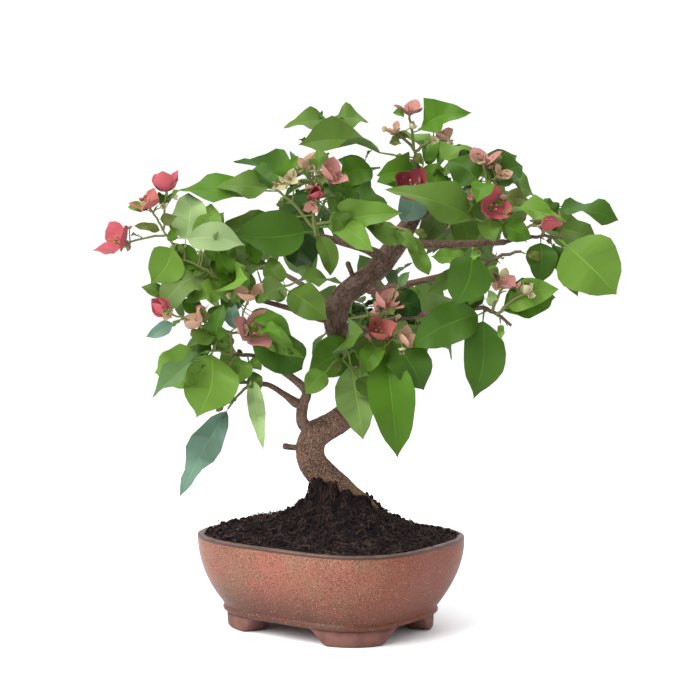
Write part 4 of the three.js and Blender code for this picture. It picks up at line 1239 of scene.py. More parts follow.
def skin_tree():
    """Gives lines a round skin by each point's own girth."""
    inputs = [("Sides", "NodeSocketInt"), ("Material", "NodeSocketMaterial")]
    tree, maker, entry = new_geometry_tree("Skin over lines", inputs)
    curve = maker.add("GeometryNodeMeshToCurve", Mesh=entry.outputs["Geometry"])
    profile = maker.add("GeometryNodeCurvePrimitiveCircle", Resolution=entry.outputs["Sides"], Radius=1.0)
    skin = maker.add("GeometryNodeCurveToMesh", Curve=curve, Profile_Curve=profile,
                     Scale=named(maker, "girth", "FLOAT"), Fill_Caps=True)
    smooth = maker.add("GeometryNodeSetShadeSmooth", Geometry=skin)
    close_tree(maker, smooth, entry.outputs["Material"])
    return tree


def crumb_tree():
    """Scatters crumbs over a surface, each turned and sized by chance."""
    inputs = [
        ("Shapes", "NodeSocketCollection"), ("Per square metre", "NodeSocketFloat"),
        ("Smallest", "NodeSocketFloat"), ("Largest", "NodeSocketFloat"),
        ("Seed", "NodeSocketInt"), ("Material", "NodeSocketMaterial"),
    ]
    tree, maker, entry = new_geometry_tree("Crumbs over a surface", inputs)

    def chance(kind, low, high):
        return maker.add("FunctionNodeRandomValue", {"data_type": kind}, Min=low, Max=high,
                         Seed=entry.outputs["Seed"])

    spots = maker.add("GeometryNodeDistributePointsOnFaces", Mesh=entry.outputs["Geometry"],
                      Density=entry.outputs["Per square metre"], Seed=entry.outputs["Seed"])
    turn = chance("FLOAT_VECTOR", (0, 0, 0), CRUMB_TURN).outputs[0]
    aim = maker.add("FunctionNodeEulerToRotation", Euler=turn)
    rare = maker.combine("POWER", chance("FLOAT", 0.0, 1.0).outputs[1], CRUMB_RARITY)
    size = maker.add("ShaderNodeMapRange", Value=rare, To_Min=entry.outputs["Smallest"],
                     To_Max=entry.outputs["Largest"])
    pick = chance("INT", 0, CRUMB_SHAPES - 1).outputs[2]
    spread = maker.add("GeometryNodeInstanceOnPoints", Points=spots.outputs["Points"],
                       Instance=shapes_to_pick(maker, entry), Pick_Instance=True,
                       Instance_Index=pick, Rotation=aim, Scale=size.outputs[0])
    close_tree(maker, spread, entry.outputs["Material"])
    return tree


def grow_by_nodes(piece, tree, settings):
    """Runs a node tree on an object and keeps the result as its plain mesh."""
    modifier = piece.modifiers.new("grow", "NODES")
    modifier.node_group = tree
    sockets = {item.name: item.identifier for item in tree.interface.items_tree
               if item.item_type == "SOCKET" and item.in_out == "INPUT"}
    for title, value in settings.items():
        modifier[sockets[title]] = value
    graph = bpy.context.evaluated_depsgraph_get()
    grown = bpy.data.meshes.new_from_object(piece.evaluated_get(graph), depsgraph=graph)
    piece.modifiers.remove(modifier)
    old = piece.data
    piece.data = grown
    bpy.data.meshes.remove(old)


class ShapeBox:
    """A set of small shapes for a node tree to pick from."""

    def __init__(self, name, make_shape, count):
        self.collection = bpy.data.collections.new(name)
        for number in range(count):
            shape = bpy.data.objects.new(f"{name}_{number:02d}", make_shape(number))
            self.collection.objects.link(shape)

    def throw_away(self):
        for shape in list(self.collection.objects):
            mesh = shape.data
            bpy.data.objects.remove(shape)
            bpy.data.meshes.remove(mesh)
        bpy.data.collections.remove(self.collection)


# Small shapes

SHARP_ANGLE = math.radians(75)
TUBE_START = np.array([0.2, 1.0, 0.3])


def lowered(top, thickness):
    """The points under a grid of points."""
    normals = np.cross(np.gradient(top, axis=0), np.gradient(top, axis=1))
    return top - thickness * normals / np.linalg.norm(normals, axis=2)[..., None]


class SmallShape:
    """Collects the parts of a small shape, with a zone for each face."""

    def __init__(self):
        self.points = []
        self.faces = []
        self.zones = []

    def add_blade(self, base, tip, top, under, zone_of):
        """A closed thin blade: strips over its top from its base to its tip, and strips under it that
        share the rim."""
        first = len(self.points)
        self.points += [base, tip, *top.reshape(-1, 3), *under.reshape(-1, 3)]
        rows, columns = top.shape[:2]
        above = 2 + np.arange(rows * columns).reshape(rows, columns)
        below = 2 + rows * columns + np.arange(rows * under.shape[1]).reshape(rows, -1)
        below = np.column_stack([above[:, 0], below, above[:, -1]])
        for numbers, on_top in ((above, True), (below, False)):
            lines = [[0, *line, 1] for line in numbers.T.tolist()]
            for strip in range(len(lines) - 1):
                left, right = lines[strip:strip + 2]
                for row in range(rows + 1):
                    corners = list(dict.fromkeys([left[row], left[row + 1], right[row + 1], right[row]]))
                    face = corners if on_top else [corners[0], *reversed(corners[1:])]
                    self.faces.append(tuple(first + k for k in face))
                    self.zones.append(zone_of(row, strip, on_top))

    def add_tube(self, path, radii, sides, zone):
        """A small tube with closed ends."""
        base = len(self.points)
        path = np.array(path, dtype=float)
        for spot, ahead, radius in zip(path, np.gradient(path, axis=0), radii):
            ahead = unit(ahead)
            side = across(TUBE_START, ahead)
            other = np.cross(ahead, side)
            for k in range(sides):
                turn = math.tau * k / sides
                self.points.append(spot + radius * (side * math.cos(turn) + other * math.sin(turn)))
        last = base + (len(path) - 1) * sides
        for start in range(base, last, sides):
            for k in range(sides):
                a = start + k
                b = start + (k + 1) % sides
                self.faces.append((a, b, b + sides, a + sides))
        self.faces.append(tuple(base + k for k in reversed(range(sides))))
        self.faces.append(tuple(last + k for k in range(sides)))
        self.zones += [zone] * (len(self.faces) - len(self.zones))

    def mesh(self, name):
        mesh = make_mesh(name, self.points, self.faces)
        set_values(mesh, "zone", "INT", "FACE", self.zones)
        mesh.set_sharp_from_angle(angle=SHARP_ANGLE)
        return mesh


# Leaves, one unit long. Sizes are shares of the length.

LEAF_SHAPES = 16
LEAF_SEED = 900
BLADE, RIB, UNDERSIDE = range(len(ZONES))
LEAF_OUTLINE = np.array([0, 0.04, 0.11, 0.20, 0.30, 0.41, 0.52, 0.63, 0.74, 0.84, 0.93, 1.0])
LEAF_WIDTHS = np.array([0, 0.30, 0.64, 0.88, 0.99, 1.0, 0.95, 0.85, 0.69, 0.45, 0.14, 0])
LEAF_STATIONS = np.array([0.035, 0.10, 0.19, 0.30, 0.41, 0.52, 0.64, 0.75, 0.85, 0.94])
LEAF_COLUMNS = np.array([-1, -0.022, 0.022, 1])
LEAF_THICKNESS = 0.012
RIB_STRIP = 1
RIB_DEPTH = 0.006
VEIN_SLANT = 0.10
STALK_END = (LEAF_STALK + 0.02, 0, 0.004)
STALK_WIDTHS = (0.014, 0.009)
STALK_SIDES = 4
# How leaves differ, from least to most
LEAF_RANGES = dict(
    fullness=(0.7, 1.1), arch=(-0.01, 0.17), hook=(0.0, 0.18), fold=(0.10, 0.65), wave=(0.06, 0.20),
    waves=(1.0, 2.2), phase=(0, math.tau), twist=(-0.8, 0.8), bend=(-0.13, 0.13), swell=(0.004, 0.012),
)
# The forms of the arch, the hook, the twist, the fold and the waves, whose two rims are out of step
ARCH_POWER = 0.85
HOOK_POWER = 4
TWIST_MIDDLE = 0.35
FOLD_EASE = 0.35
WAVE_GAIN = 3
RIM_STEP = 1.7


def leaf_zone(row, strip, on_top):
    if not on_top:
        return UNDERSIDE
    return RIB if strip == RIB_STRIP else BLADE


def leaf_shape(number):
    """A pointed oval leaf: a stalk, then a folded, arched blade that swells between its veins."""
    own = drawn_all(seeded(LEAF_SEED + number), LEAF_RANGES)
    blade = 1 - LEAF_STALK

    def spot(s, c, bump):
        """A place on the blade: s from its base to its tip, c from rim to rim."""
        half = LEAF_HALF_WIDTH * blade * np.interp(s, LEAF_OUTLINE, LEAF_WIDTHS) ** own.fullness
        lift = own.arch * blade * math.sin(math.pi * s ** ARCH_POWER) - own.hook * s ** HOOK_POWER
        roll = own.twist * (s - TWIST_MIDDLE)
        step = RIM_STEP if c > 0 else -RIM_STEP
        y = c * half
        z = own.fold * abs(y) * (1 - FOLD_EASE * abs(c)) + bump
        z += own.wave * c * c * half * WAVE_GAIN * math.sin(math.tau * own.waves * s + own.phase + step)
        return np.array([
            LEAF_STALK + blade * s,
            y * math.cos(roll) - z * math.sin(roll) + own.bend * math.sin(math.pi * s),
            lift + y * math.sin(roll) + z * math.cos(roll),
        ])

    top = np.zeros((len(LEAF_STATIONS), len(LEAF_COLUMNS), 3))
    for i, station in enumerate(LEAF_STATIONS):
        belly = math.sin(math.pi * station)
        for j, c in enumerate(LEAF_COLUMNS):
            rim_swell = own.swell * (1 if i % 2 else -1) * belly
            bump = -RIB_DEPTH if abs(c) < 1 else rim_swell
            top[i, j] = spot(station + VEIN_SLANT * abs(c) * belly, c, bump)
    under = lowered(top, LEAF_THICKNESS)
    under = (under[:, 1:2] + under[:, 2:3]) / 2
    shape = SmallShape()
    shape.add_blade(spot(0, 0, 0), spot(1, 0, 0), top, under, leaf_zone)
    shape.add_tube([(0, 0, 0), STALK_END], STALK_WIDTHS, STALK_SIDES, RIB)
    return shape.mesh("leaf")


# Blossoms. Sizes are shares of a bract's length.

BLOSSOM_SHAPES = 8
BLOSSOM_SHAPE_SEED = 1200
BRACT, TUBE, CALYX = range(len(ZONES))
BRACT_STATIONS = np.array([0.10, 0.24, 0.42, 0.62, 0.82])
BRACT_WIDTHS = np.array([0.56, 0.88, 1.0, 0.90, 0.56])
BRACT_COLUMNS = np.array([-1, -0.5, 0, 0.5, 1])
BRACT_HALF_WIDTH = 0.42
BRACT_THICKNESS = 0.014
BRACT_BULGE = 0.13
BULGE_REACH = 1.1
BULGE_POWER = 0.8
# How blossoms lean, in degrees, and how bracts differ: the tilt in degrees and the turn in radians
BLOSSOM_LEAN = (12, 60)
BRACT_RANGES = dict(
    turn=(-0.2, 0.2), tilt=(-10, 10), curl=(-0.06, 0.22), cup=(0.1, 0.5), ruffle=(0.0, 0.06), phase=(0, 6),
    reach=(0.86, 1.0),
)
RUFFLE_WAVES = 9
RUFFLE_SKEW = 2
CUP_POWER = 1.6
CURL_POWER = 3
# The slim tubes in the middle, and the green cup below them
TUBE_CIRCLE = 0.06
TUBE_FOOT = 0.02
TUBE_SPREAD = 2.0
TUBE_LENGTH = (0.26, 0.42)
TUBE_RADII = (0.022, 0.026, 0.036)
TUBE_SIDES = 5
CALYX_PATH = [(0, 0, -0.2), (0, 0, -0.07), (0, 0, 0.05)]
CALYX_RADII = (0.045, 0.065, 0.04)
CALYX_SIDES = 6


def bract_zone(row, strip, on_top):
    """A bract is pale green at its foot."""
    return CALYX if row == 0 else BRACT


def add_bract(shape, k, lean, chance):
    own = drawn_all(chance, BRACT_RANGES)
    turn = math.tau * k / BRACTS + own.turn
    tilt = lean + math.radians(own.tilt)

    def spot(s, half, c):
        """A place on the bract: s from its foot to its tip, c from rim to rim."""
        y = c * half
        inward = BRACT_BULGE * math.sin(math.pi * min(1, s * BULGE_REACH) ** BULGE_POWER)
        inward -= own.cup * abs(c) ** CUP_POWER * half
        inward += own.ruffle * math.sin(RUFFLE_WAVES * s + own.phase + RUFFLE_SKEW * c)
        inward += own.curl * s ** CURL_POWER
        out = own.reach * s * math.sin(tilt) + inward * math.cos(tilt)
        rise = own.reach * s * math.cos(tilt) - inward * math.sin(tilt)
        return np.array([
            out * math.cos(turn) - y * math.sin(turn),
            out * math.sin(turn) + y * math.cos(turn),
            rise,
        ])

    rows = zip(BRACT_STATIONS, BRACT_HALF_WIDTH * BRACT_WIDTHS)
    top = np.array([[spot(s, half, c) for c in BRACT_COLUMNS] for s, half in rows])
    under = lowered(top, BRACT_THICKNESS)[:, 1:-1]
    shape.add_blade(spot(0, 0, 0), spot(1, 0, 0), top, under, bract_zone)


def blossom_shape(number):
    """Three papery bracts, more or less open, round a group of slim tubes."""
    chance = seeded(BLOSSOM_SHAPE_SEED + number)
    shape = SmallShape()
    lean = math.radians(lerp(*BLOSSOM_LEAN, number / (BLOSSOM_SHAPES - 1)))
    for k in range(BRACTS):
        add_bract(shape, k, lean, chance)
    for k in range(BRACTS):
        turn = math.tau * (k + 0.5) / BRACTS
        foot = np.array([TUBE_CIRCLE * math.cos(turn), TUBE_CIRCLE * math.sin(turn), TUBE_FOOT])
        tip = foot * TUBE_SPREAD + UP * drawn(chance, TUBE_LENGTH)
        shape.add_tube(arched(foot, tip, 0), TUBE_RADII, TUBE_SIDES, TUBE)
    shape.add_tube(CALYX_PATH, CALYX_RADII, CALYX_SIDES, CALYX)
    return shape.mesh("blossom")


# Crumbs of peat, about one unit across

CRUMB_SEED = 1500
CRUMB_ROWS = 5
CRUMB_COLUMNS = 6
CRUMB_SQUASH = ((0.6, 1.2), (0.45, 0.9), (0.35, 0.7))
CRUMB_REACH = (0.34, 0.58)
CRUMB_POLE = 0.45


def crumb_shape(number):
    """A lump of peat with flat facets."""
    chance = seeded(CRUMB_SEED + number)
    squash = np.array([drawn(chance, limits) for limits in CRUMB_SQUASH])
    points = []
    for i in range(1, CRUMB_ROWS):
        tilt = math.pi * i / CRUMB_ROWS
        for j in range(CRUMB_COLUMNS):
            turn = math.tau * (j + 0.5 * (i % 2)) / CRUMB_COLUMNS
            across_x = math.sin(tilt) * math.cos(turn)
            across_y = math.sin(tilt) * math.sin(turn)
            spot = np.array([across_x, across_y, -math.cos(tilt)])
            points.append(spot * drawn(chance, CRUMB_REACH) * squash)
    points += [-UP * CRUMB_POLE * squash, UP * CRUMB_POLE * squash]
    mesh = make_mesh("crumb", points, ring_faces(CRUMB_ROWS - 1, CRUMB_COLUMNS))
    mesh.polygons.foreach_set("use_smooth", [False] * len(mesh.polygons))
    return mesh


# Shaders

def plain_finish(name, colour, roughness, specular):
    material = bpy.data.materials.new(name)
    material.use_nodes = True
    shader = material.node_tree.nodes["Principled BSDF"]
    shader.inputs["Base Color"].default_value = (*colour, 1)
    shader.inputs["Roughness"].default_value = roughness
    shader.inputs["Specular IOR Level"].default_value = specular
    material.diffuse_color = (*colour, 1)
    return material


def start_finish(name, colour, roughness, specular):
    """A finish whose nodes are still to be added."""
    material = plain_finish(name, colour, roughness, specular)
    maker = NodeMaker(material.node_tree)
    return material, maker, material.node_tree.nodes["Principled BSDF"]


def new_shader_group(name, inputs, output, kind):
    group = bpy.data.node_groups.new(name, "ShaderNodeTree")
    for title, input_kind, value in inputs:
        socket = group.interface.new_socket(title, in_out="INPUT", socket_type=input_kind)
        socket.default_value = value
    group.interface.new_socket(output, in_out="OUTPUT", socket_type=kind)
    maker = NodeMaker(group)
    return group, maker, maker.add("NodeGroupInput")


def own_space(maker):
    return maker.add("ShaderNodeTexCoord").outputs["Object"]


def patch_group():
    """Soft-edged patches of a second colour, by noise in the object's own space."""
    inputs = [
        ("First", "NodeSocketColor", (1, 1, 1, 1)), ("Second", "NodeSocketColor", (0, 0, 0, 1)),
        ("Scale", "NodeSocketFloat", 20.0),
        ("Low", "NodeSocketFloat", 0.45), ("High", "NodeSocketFloat", 0.6),
    ]
    group, maker, entry = new_shader_group("Patches", inputs, "Colour", "NodeSocketColor")
    noise = maker.add("ShaderNodeTexNoise", Vector=own_space(maker), Scale=entry.outputs["Scale"],
                      Detail=4.0, Roughness=0.6)
    mask = maker.add("ShaderNodeMapRange", {"interpolation_type": "SMOOTHSTEP"}, Value=noise.outputs["Fac"],
                     From_Min=entry.outputs["Low"], From_Max=entry.outputs["High"])
    mix = maker.add("ShaderNodeMix", {"data_type": "RGBA"}, Factor=mask.outputs[0],
                    A=entry.outputs["First"], B=entry.outputs["Second"])
    maker.add("NodeGroupOutput", Colour=mix.outputs["Result"])
    return group


def grain_group():
    """A fine relief by noise in the object's own space."""
    inputs = [
        ("Scale", "NodeSocketFloat", 400.0), ("Strength", "NodeSocketFloat", 0.3),
        ("Distance", "NodeSocketFloat", 0.0005),
    ]
    group, maker, entry = new_shader_group("Grain", inputs, "Normal", "NodeSocketVector")
    noise = maker.add("ShaderNodeTexNoise", Vector=own_space(maker), Scale=entry.outputs["Scale"],
                      Detail=3.0, Roughness=0.65)
    bump = maker.add("ShaderNodeBump", Height=noise.outputs["Fac"], Strength=entry.outputs["Strength"],
                     Distance=entry.outputs["Distance"])
    maker.add("NodeGroupOutput", Normal=bump.outputs["Normal"])
    return group


PATCHES = patch_group()
GRAIN = grain_group()


def colour_input(value):
    """A plain colour as a socket takes it. A link stays as it is."""
    return (*value, 1) if isinstance(value, tuple) else value


def patches(maker, first, second, scale, edge):
    """Patches of the second colour on the first. The edge is where their noise begins and ends."""
    low, high = edge
    node = maker.add("ShaderNodeGroup", {"node_tree": PATCHES}, First=colour_input(first),
                     Second=colour_input(second), Scale=scale, Low=low, High=high)
    return node.outputs["Colour"]


def grain(maker, scale, strength, distance):
    node = maker.add("ShaderNodeGroup", {"node_tree": GRAIN}, Scale=scale, Strength=strength,
                     Distance=distance)
    return node.outputs["Normal"]


def mixed(maker, factor, first, second):
    node = maker.add("ShaderNodeMix", {"data_type": "RGBA"}, Factor=factor, A=colour_input(first),
                     B=colour_input(second))
    return node.outputs["Result"]


def attribute_value(maker, name):
    return maker.add("ShaderNodeAttribute", {"attribute_name": name}).outputs["Fac"]


def attribute_share(maker, name, share):
    return maker.combine("MULTIPLY", attribute_value(maker, name), share)


def bark_finish():
    """Young bark is brown with pale pebbles and dark pits. Old bark is grey-brown with dark flecks."""
    material, maker, shader = start_finish("bark", (0.15, 0.10, 0.075), roughness=0.8, specular=0.12)
    young = patches(maker, (0.118, 0.066, 0.044), (0.066, 0.036, 0.025), scale=70.0, edge=(0.42, 0.62))
    worn = patches(maker, (0.098, 0.062, 0.045), (0.150, 0.100, 0.076), scale=90.0, edge=(0.42, 0.62))
    old = patches(maker, worn, (0.048, 0.030, 0.022), scale=420.0, edge=(0.52, 0.66))
    pebbled = patches(maker, young, (0.225, 0.148, 0.108), scale=720.0, edge=(0.49, 0.60))
    pitted = patches(maker, pebbled, (0.034, 0.019, 0.014), scale=600.0, edge=(0.55, 0.65))
    base = mixed(maker, attribute_value(maker, "age"), pitted, old)
    # The grooves darken towards near black: partly the bark's own dark fissures, partly painted shade in
    # them
    cracked = mixed(maker, attribute_share(maker, "groove", 0.65), base, (0.016, 0.009, 0.006))
    moss = patches(maker, (0.095, 0.085, 0.016), (0.130, 0.070, 0.028), scale=150.0, edge=(0.40, 0.60))
    mossy = mixed(maker, attribute_share(maker, "moss", 0.75), cracked, moss)
    maker.feed(shader, "Base Color", mossy)
    maker.feed(shader, "Normal", grain(maker, scale=800.0, strength=0.8, distance=0.0008))
    return material


# The glaze goes from dark to warm between these heights
GLAZE_RISE = (16, 64)


def glaze_finish():
    """A warm brown glaze, darker low down, with dark and pale speckles. Painted shade, with some smoky
    glaze, darkens it to the right.
    """
    material, maker, shader = start_finish("glaze", (0.18, 0.06, 0.04), roughness=0.42, specular=0.18)
    height = maker.add("ShaderNodeSeparateXYZ", Vector=own_space(maker)).outputs["Z"]
    rise = maker.add("ShaderNodeMapRange", {"interpolation_type": "SMOOTHSTEP"}, Value=height,
                     From_Min=GLAZE_RISE[0] * MM, From_Max=GLAZE_RISE[1] * MM)
    warm = patches(maker, (0.250, 0.080, 0.055), (0.205, 0.098, 0.060), scale=16.0, edge=(0.42, 0.60))
    low = patches(maker, (0.085, 0.026, 0.017), (0.075, 0.034, 0.021), scale=22.0, edge=(0.42, 0.62))
    body = mixed(maker, rise.outputs[0], low, warm)
    rosy = patches(maker, body, (0.190, 0.052, 0.036), scale=14.0, edge=(0.50, 0.74))
    # Painted shade, with some smoky glaze, on the side away from the key light
    smoked_and_shaded = mixed(maker, attribute_share(maker, "smoke_and_shade", 0.8), rosy, (0.142, 0.020, 0.003))
    speckled = patches(maker, smoked_and_shaded, (0.055, 0.027, 0.017), scale=900.0, edge=(0.44, 0.66))
    pale = patches(maker, speckled, (0.330, 0.190, 0.125), scale=760.0, edge=(0.60, 0.68))
    pitted = patches(maker, pale, (0.022, 0.012, 0.010), scale=130.0, edge=(0.735, 0.755))
    maker.feed(shader, "Base Color", pitted)
    maker.feed(shader, "Normal", grain(maker, scale=420.0, strength=0.16, distance=0.0004))
    return material


def lip_finish():
    material, maker, shader = start_finish("lip", (0.10, 0.06, 0.04), roughness=0.4, specular=0.3)
    brown = patches(maker, (0.060, 0.031, 0.023), (0.105, 0.056, 0.041), scale=60.0, edge=(0.45, 0.62))
    maker.feed(shader, "Base Color", brown)
    maker.feed(shader, "Normal", grain(maker, scale=300.0, strength=0.25, distance=0.0005))
    return material


def clay_finish():
    material, maker, shader = start_finish("clay", (0.24, 0.12, 0.10), roughness=0.75, specular=0.3)
    bare = patches(maker, (0.148, 0.062, 0.049), (0.106, 0.044, 0.034), scale=90.0, edge=(0.42, 0.62))
    maker.feed(shader, "Base Color", bare)
    maker.feed(shader, "Normal", grain(maker, scale=700.0, strength=0.35, distance=0.0005))
    return material


def peat_finish():
    dark = (0.005, 0.0026, 0.0031)
    brown = (0.016, 0.0088, 0.0094)
    material, maker, shader = start_finish("peat", dark, roughness=0.95, specular=0.15)
    maker.feed(shader, "Base Color", patches(maker, dark, brown, scale=160.0, edge=(0.45, 0.65)))
    maker.feed(shader, "Normal", grain(maker, scale=800.0, strength=0.9, distance=0.0012))
    return material


# Pot: rings from the underside up the outside, over the lip and down the inside

GLAZE_ZONE, LIP_ZONE, CLAY_ZONE, EDGE_ZONE = range(4)
# The underside: how far up, how wide and of what
UNDERSIDE_ROWS = [
    (0, FOOT_INNER_SCALE - 0.1, CLAY_ZONE), (0, FOOT_SCALE + 0.006, CLAY_ZONE),
    (0.3, FOOT_SCALE + 0.016, GLAZE_ZONE),
]
# The bead below the belly: heights and widths
BEAD_ROWS = [
    (14.8, 0.798), (15.6, 0.8045), (16.6, BEAD_SCALE), (17.6, 0.8055), (18.5, 0.802), (19.3, 0.797),
]
BELLY_ROWS = 34
GLAZE_STOP = 0.4
EDGE_DROP = 1.1
# The lip: how far below the rim and how far in
LIP_ROWS = [(0.6, 0.15), (0.25, 0.5), (0.0, 1.1), (0.0, 2.8), (0.0, 4.6), (0.3, 5.6), (1.2, 6.3)]
INSIDE_HEIGHTS = (76, 70, 58, 42, 30, 24.5, FLOOR_Z)
# The pot was shaped by hand, so its wall is slightly uneven
POT_LUMP_SIZE = 34
POT_LUMP_DEPTH = 0.35
POT_LUMP_SEED = 5
POT_SHRINK = 0.2
# A foot's side: how far in, as a share of the pot's outline, and how far up
FOOT_ROWS = [(0.0, 1.0), (0.002, 0.5), (0.006, 0.12), (0.016, 0.03), (0.028, 0.0)]
FOOT_OVERLAP = 0.8
NOTCH_OVERLAP = 0.2
# The glaze darkens on the side turned to the camera's right, between these places across the pot: painted
# shade on the side away from the key light, with some smoky glaze
SMOKE_AND_SHADE_REACH = (0, 100)


def corner_reach(turn, power):
    """How far a soft-cornered outline with half sides of one reaches at each turn."""
    return (np.abs(np.cos(turn)) ** power + np.abs(np.sin(turn)) ** power) ** (-1 / power)


def belly_scale(z):
    return 1 - (1 - WAIST_SCALE) * ((GLAZE_EDGE_Z - z) / (GLAZE_EDGE_Z - WAIST_Z)) ** 2


def pot_ring(z, scale, inset=0.0):
    turn = math.tau * (np.arange(POT_SIDES) + 0.5) / POT_SIDES
    reach = corner_reach(turn, POT_CORNER_POWER)
    x = (POT_HALF_LENGTH * scale - inset) * reach * np.cos(turn)
    y = (POT_HALF_WIDTH * scale - inset) * reach * np.sin(turn)
    return np.column_stack([x, y, np.full(POT_SIDES, z)])


def pot_rows():
    """The pot's rings, each with the finish of the band that leads to it."""
    rows = [(pot_ring(UNDERSIDE_Z + rise, scale), zone) for rise, scale, zone in UNDERSIDE_ROWS]
    rows += [(pot_ring(z, scale), GLAZE_ZONE) for z, scale in BEAD_ROWS]
    for z in np.linspace(WAIST_Z, GLAZE_EDGE_Z - GLAZE_STOP, BELLY_ROWS):
        rows.append((pot_ring(z, belly_scale(z)), GLAZE_ZONE))
    rows.append((pot_ring(POT_HEIGHT - EDGE_DROP, 1), EDGE_ZONE))
    rows += [(pot_ring(POT_HEIGHT - drop, 1, inset), LIP_ZONE) for drop, inset in LIP_ROWS]
    rows += [(pot_ring(z, belly_scale(z), WALL), LIP_ZONE) for z in INSIDE_HEIGHTS]
    return rows


def make_pot(glaze, lip, clay, edge):
    rows = pot_rows()
    points = np.vstack([ring for ring, _ in rows])
    lumps = layered_noise(points / POT_LUMP_SIZE, POT_LUMP_SEED, 2)
    outward = points[:, :2] / np.linalg.norm(points[:, :2], axis=1)[:, None]
    points[:, :2] += outward * (POT_LUMP_DEPTH * lumps - POT_SHRINK)[:, None]
    points = np.vstack([points, [0, 0, UNDERSIDE_Z], [0, 0, FLOOR_Z]])
    foot_points, foot_faces = make_feet()
    faces = ring_faces(len(rows), POT_SIDES) + moved_faces(foot_faces, len(points))
    bands = [zone for _, zone in rows[1:]] + [CLAY_ZONE, LIP_ZONE]
    zones = np.repeat(bands, POT_SIDES).tolist() + [CLAY_ZONE] * len(foot_faces)
    points = np.vstack([points, foot_points])
    # Painted shade, with some smoky glaze, on the side turned to the camera's right
    smoke_and_shade = smoothstep((points @ TURN_MATRIX)[:, 0], *SMOKE_AND_SHADE_REACH)
    return make_mesh("pot", pot_to_part(points), faces, [glaze, lip, clay, edge], zones, {"smoke_and_shade": smoke_and_shade})


def notch_rise(spot):
    """How far the feet are cut away above the ground, from 0 to 1."""
    long_high, long_low = LONG_NOTCH
    short_high, short_low = SHORT_NOTCH
    long_cut = 1 - smoothstep(np.abs(spot[:, 0]), long_low, long_high)
    short_cut = 1 - smoothstep(np.abs(spot[:, 1]), short_low, short_high)
    return np.maximum(long_cut, short_cut)


def make_feet():
    """A skirt under the pot, cut away between the feet."""
    low = notch_rise(pot_ring(0, FOOT_SCALE)) * (UNDERSIDE_Z + NOTCH_OVERLAP)
    rows = [(FOOT_SCALE - inset, share) for inset, share in FOOT_ROWS]
    rows += [(FOOT_INNER_SCALE, share) for share in (0.0, 1.0)]
    rings = []
    for scale, share in rows:
        ring = pot_ring(0, scale)
        ring[:, 2] = lerp(low, UNDERSIDE_Z + FOOT_OVERLAP, share)
        rings.append(ring)
    faces = []
    for i in range(len(rings)):
        a = i * POT_SIDES
        b = (i + 1) % len(rings) * POT_SIDES
        for j in range(POT_SIDES):
            k = (j + 1) % POT_SIDES
            faces.append((a + k, a + j, b + j, b + k))
    return np.vstack(rings), faces


# Soil. A place on the heap has a share f, from 0 at the pot's wall to 1 at the trunk's flare and on.

SOIL_FOOT = (np.array([TRUNK_FOOT[0], -TRUNK_FOOT[1], 0.0]) @ TURN_MATRIX.T)[:2]
TOP_SHARE = 1.3
LEAST_SHRINK = 0.02
TILT_REACH = 0.2
PEAT_POWER = 2.5
ROUGH_HEIGHT = 2.6
ROUGH_SIZE = 9
ROUGH_SEED = 11
WALL_CALM = 0.35
WALL_REACH = 0.12
BED_Z = FLOOR_Z + 30
BED_SCALE = 0.94


def heap(f):
    f = np.clip(f, 0, 1)
    return HEAP_SPREAD * f ** HEAP_SPREAD_POWER + (1 - HEAP_SPREAD) * f ** HEAP_PEAK_POWER


def soil_spot(f, turn):
    """A place on the heap, by its share and its turn about the trunk's foot."""
    g = np.clip(f, 0, 1)
    shrink = np.clip((TOP_SHARE - f) / (TOP_SHARE - 1), LEAST_SHRINK, 1)
    reach = corner_reach(turn, lerp(POT_CORNER_POWER, 2, g))
    length = lerp(POT_HALF_LENGTH - SOIL_INSET, SOIL_TOP_RADIUS, g) * shrink
    width = lerp(POT_HALF_WIDTH - SOIL_INSET, SOIL_TOP_RADIUS, g) * shrink
    x = SOIL_FOOT[0] * g + length * reach * np.cos(turn)
    y = SOIL_FOOT[1] * g + width * reach * np.sin(turn)
    own = np.stack([x, y, np.zeros_like(x)], axis=-1) @ TURN_MATRIX
    z = lerp(SOIL_EDGE_Z, SOIL_TOP_Z, heap(g)) + HEAP_TILT * own[..., 0] * smoothstep(g, 0, TILT_REACH)
    heaped = np.zeros_like(z)
    for (lump_right, lump_front), radius, height in PEAT_LUMPS:
        away = ((own[..., 0] - lump_right) ** 2 + (own[..., 1] + lump_front) ** 2) / radius ** 2
        heaped = np.maximum(heaped, height * np.exp(-away ** PEAT_POWER))
    return np.stack([x, y, z + heaped], axis=-1)


def make_soil(material):
    turns = math.tau * np.arange(SOIL_SIDES) / SOIL_SIDES
    f = np.repeat(np.linspace(0, TOP_SHARE, SOIL_RINGS), SOIL_SIDES)
    top = soil_spot(f, np.tile(turns, SOIL_RINGS))
    rough = ROUGH_HEIGHT * layered_noise(top / ROUGH_SIZE, ROUGH_SEED, 3)
    top[:, 2] += rough * lerp(WALL_CALM, 1, smoothstep(f, 0, WALL_REACH))
    low = top[:SOIL_SIDES] * BED_SCALE
    low[:, 2] = BED_Z
    points = np.vstack([low, top, [0, 0, BED_Z], top[-SOIL_SIDES:].mean(axis=0)])
    return make_mesh("soil", pot_to_part(points), ring_faces(SOIL_RINGS + 1, SOIL_SIDES), [material])


SOIL_LINES_SEED = 41

# Fibres that lie over the soil. They swing further where the heap is narrow.
FIBRES = 560
FIBRE_POINTS = 6
FIBRE_HIGHEST = 0.97
FIBRE_POWER = 1.3
FIBRE_STEP = (-0.0225, 0.0225)
FIBRE_SWING = (-0.025, 0.025)
FIBRE_SHARES = (0.02, 1.02)
HEAP_WIDTHS = (1.05, 0.45)
FIBRE_RISE = 1.2
FIBRE_LIFT = 5.0
FIBRE_PLAY = 3.4
FIBRE_GIRTH = (0.12, 0.34)


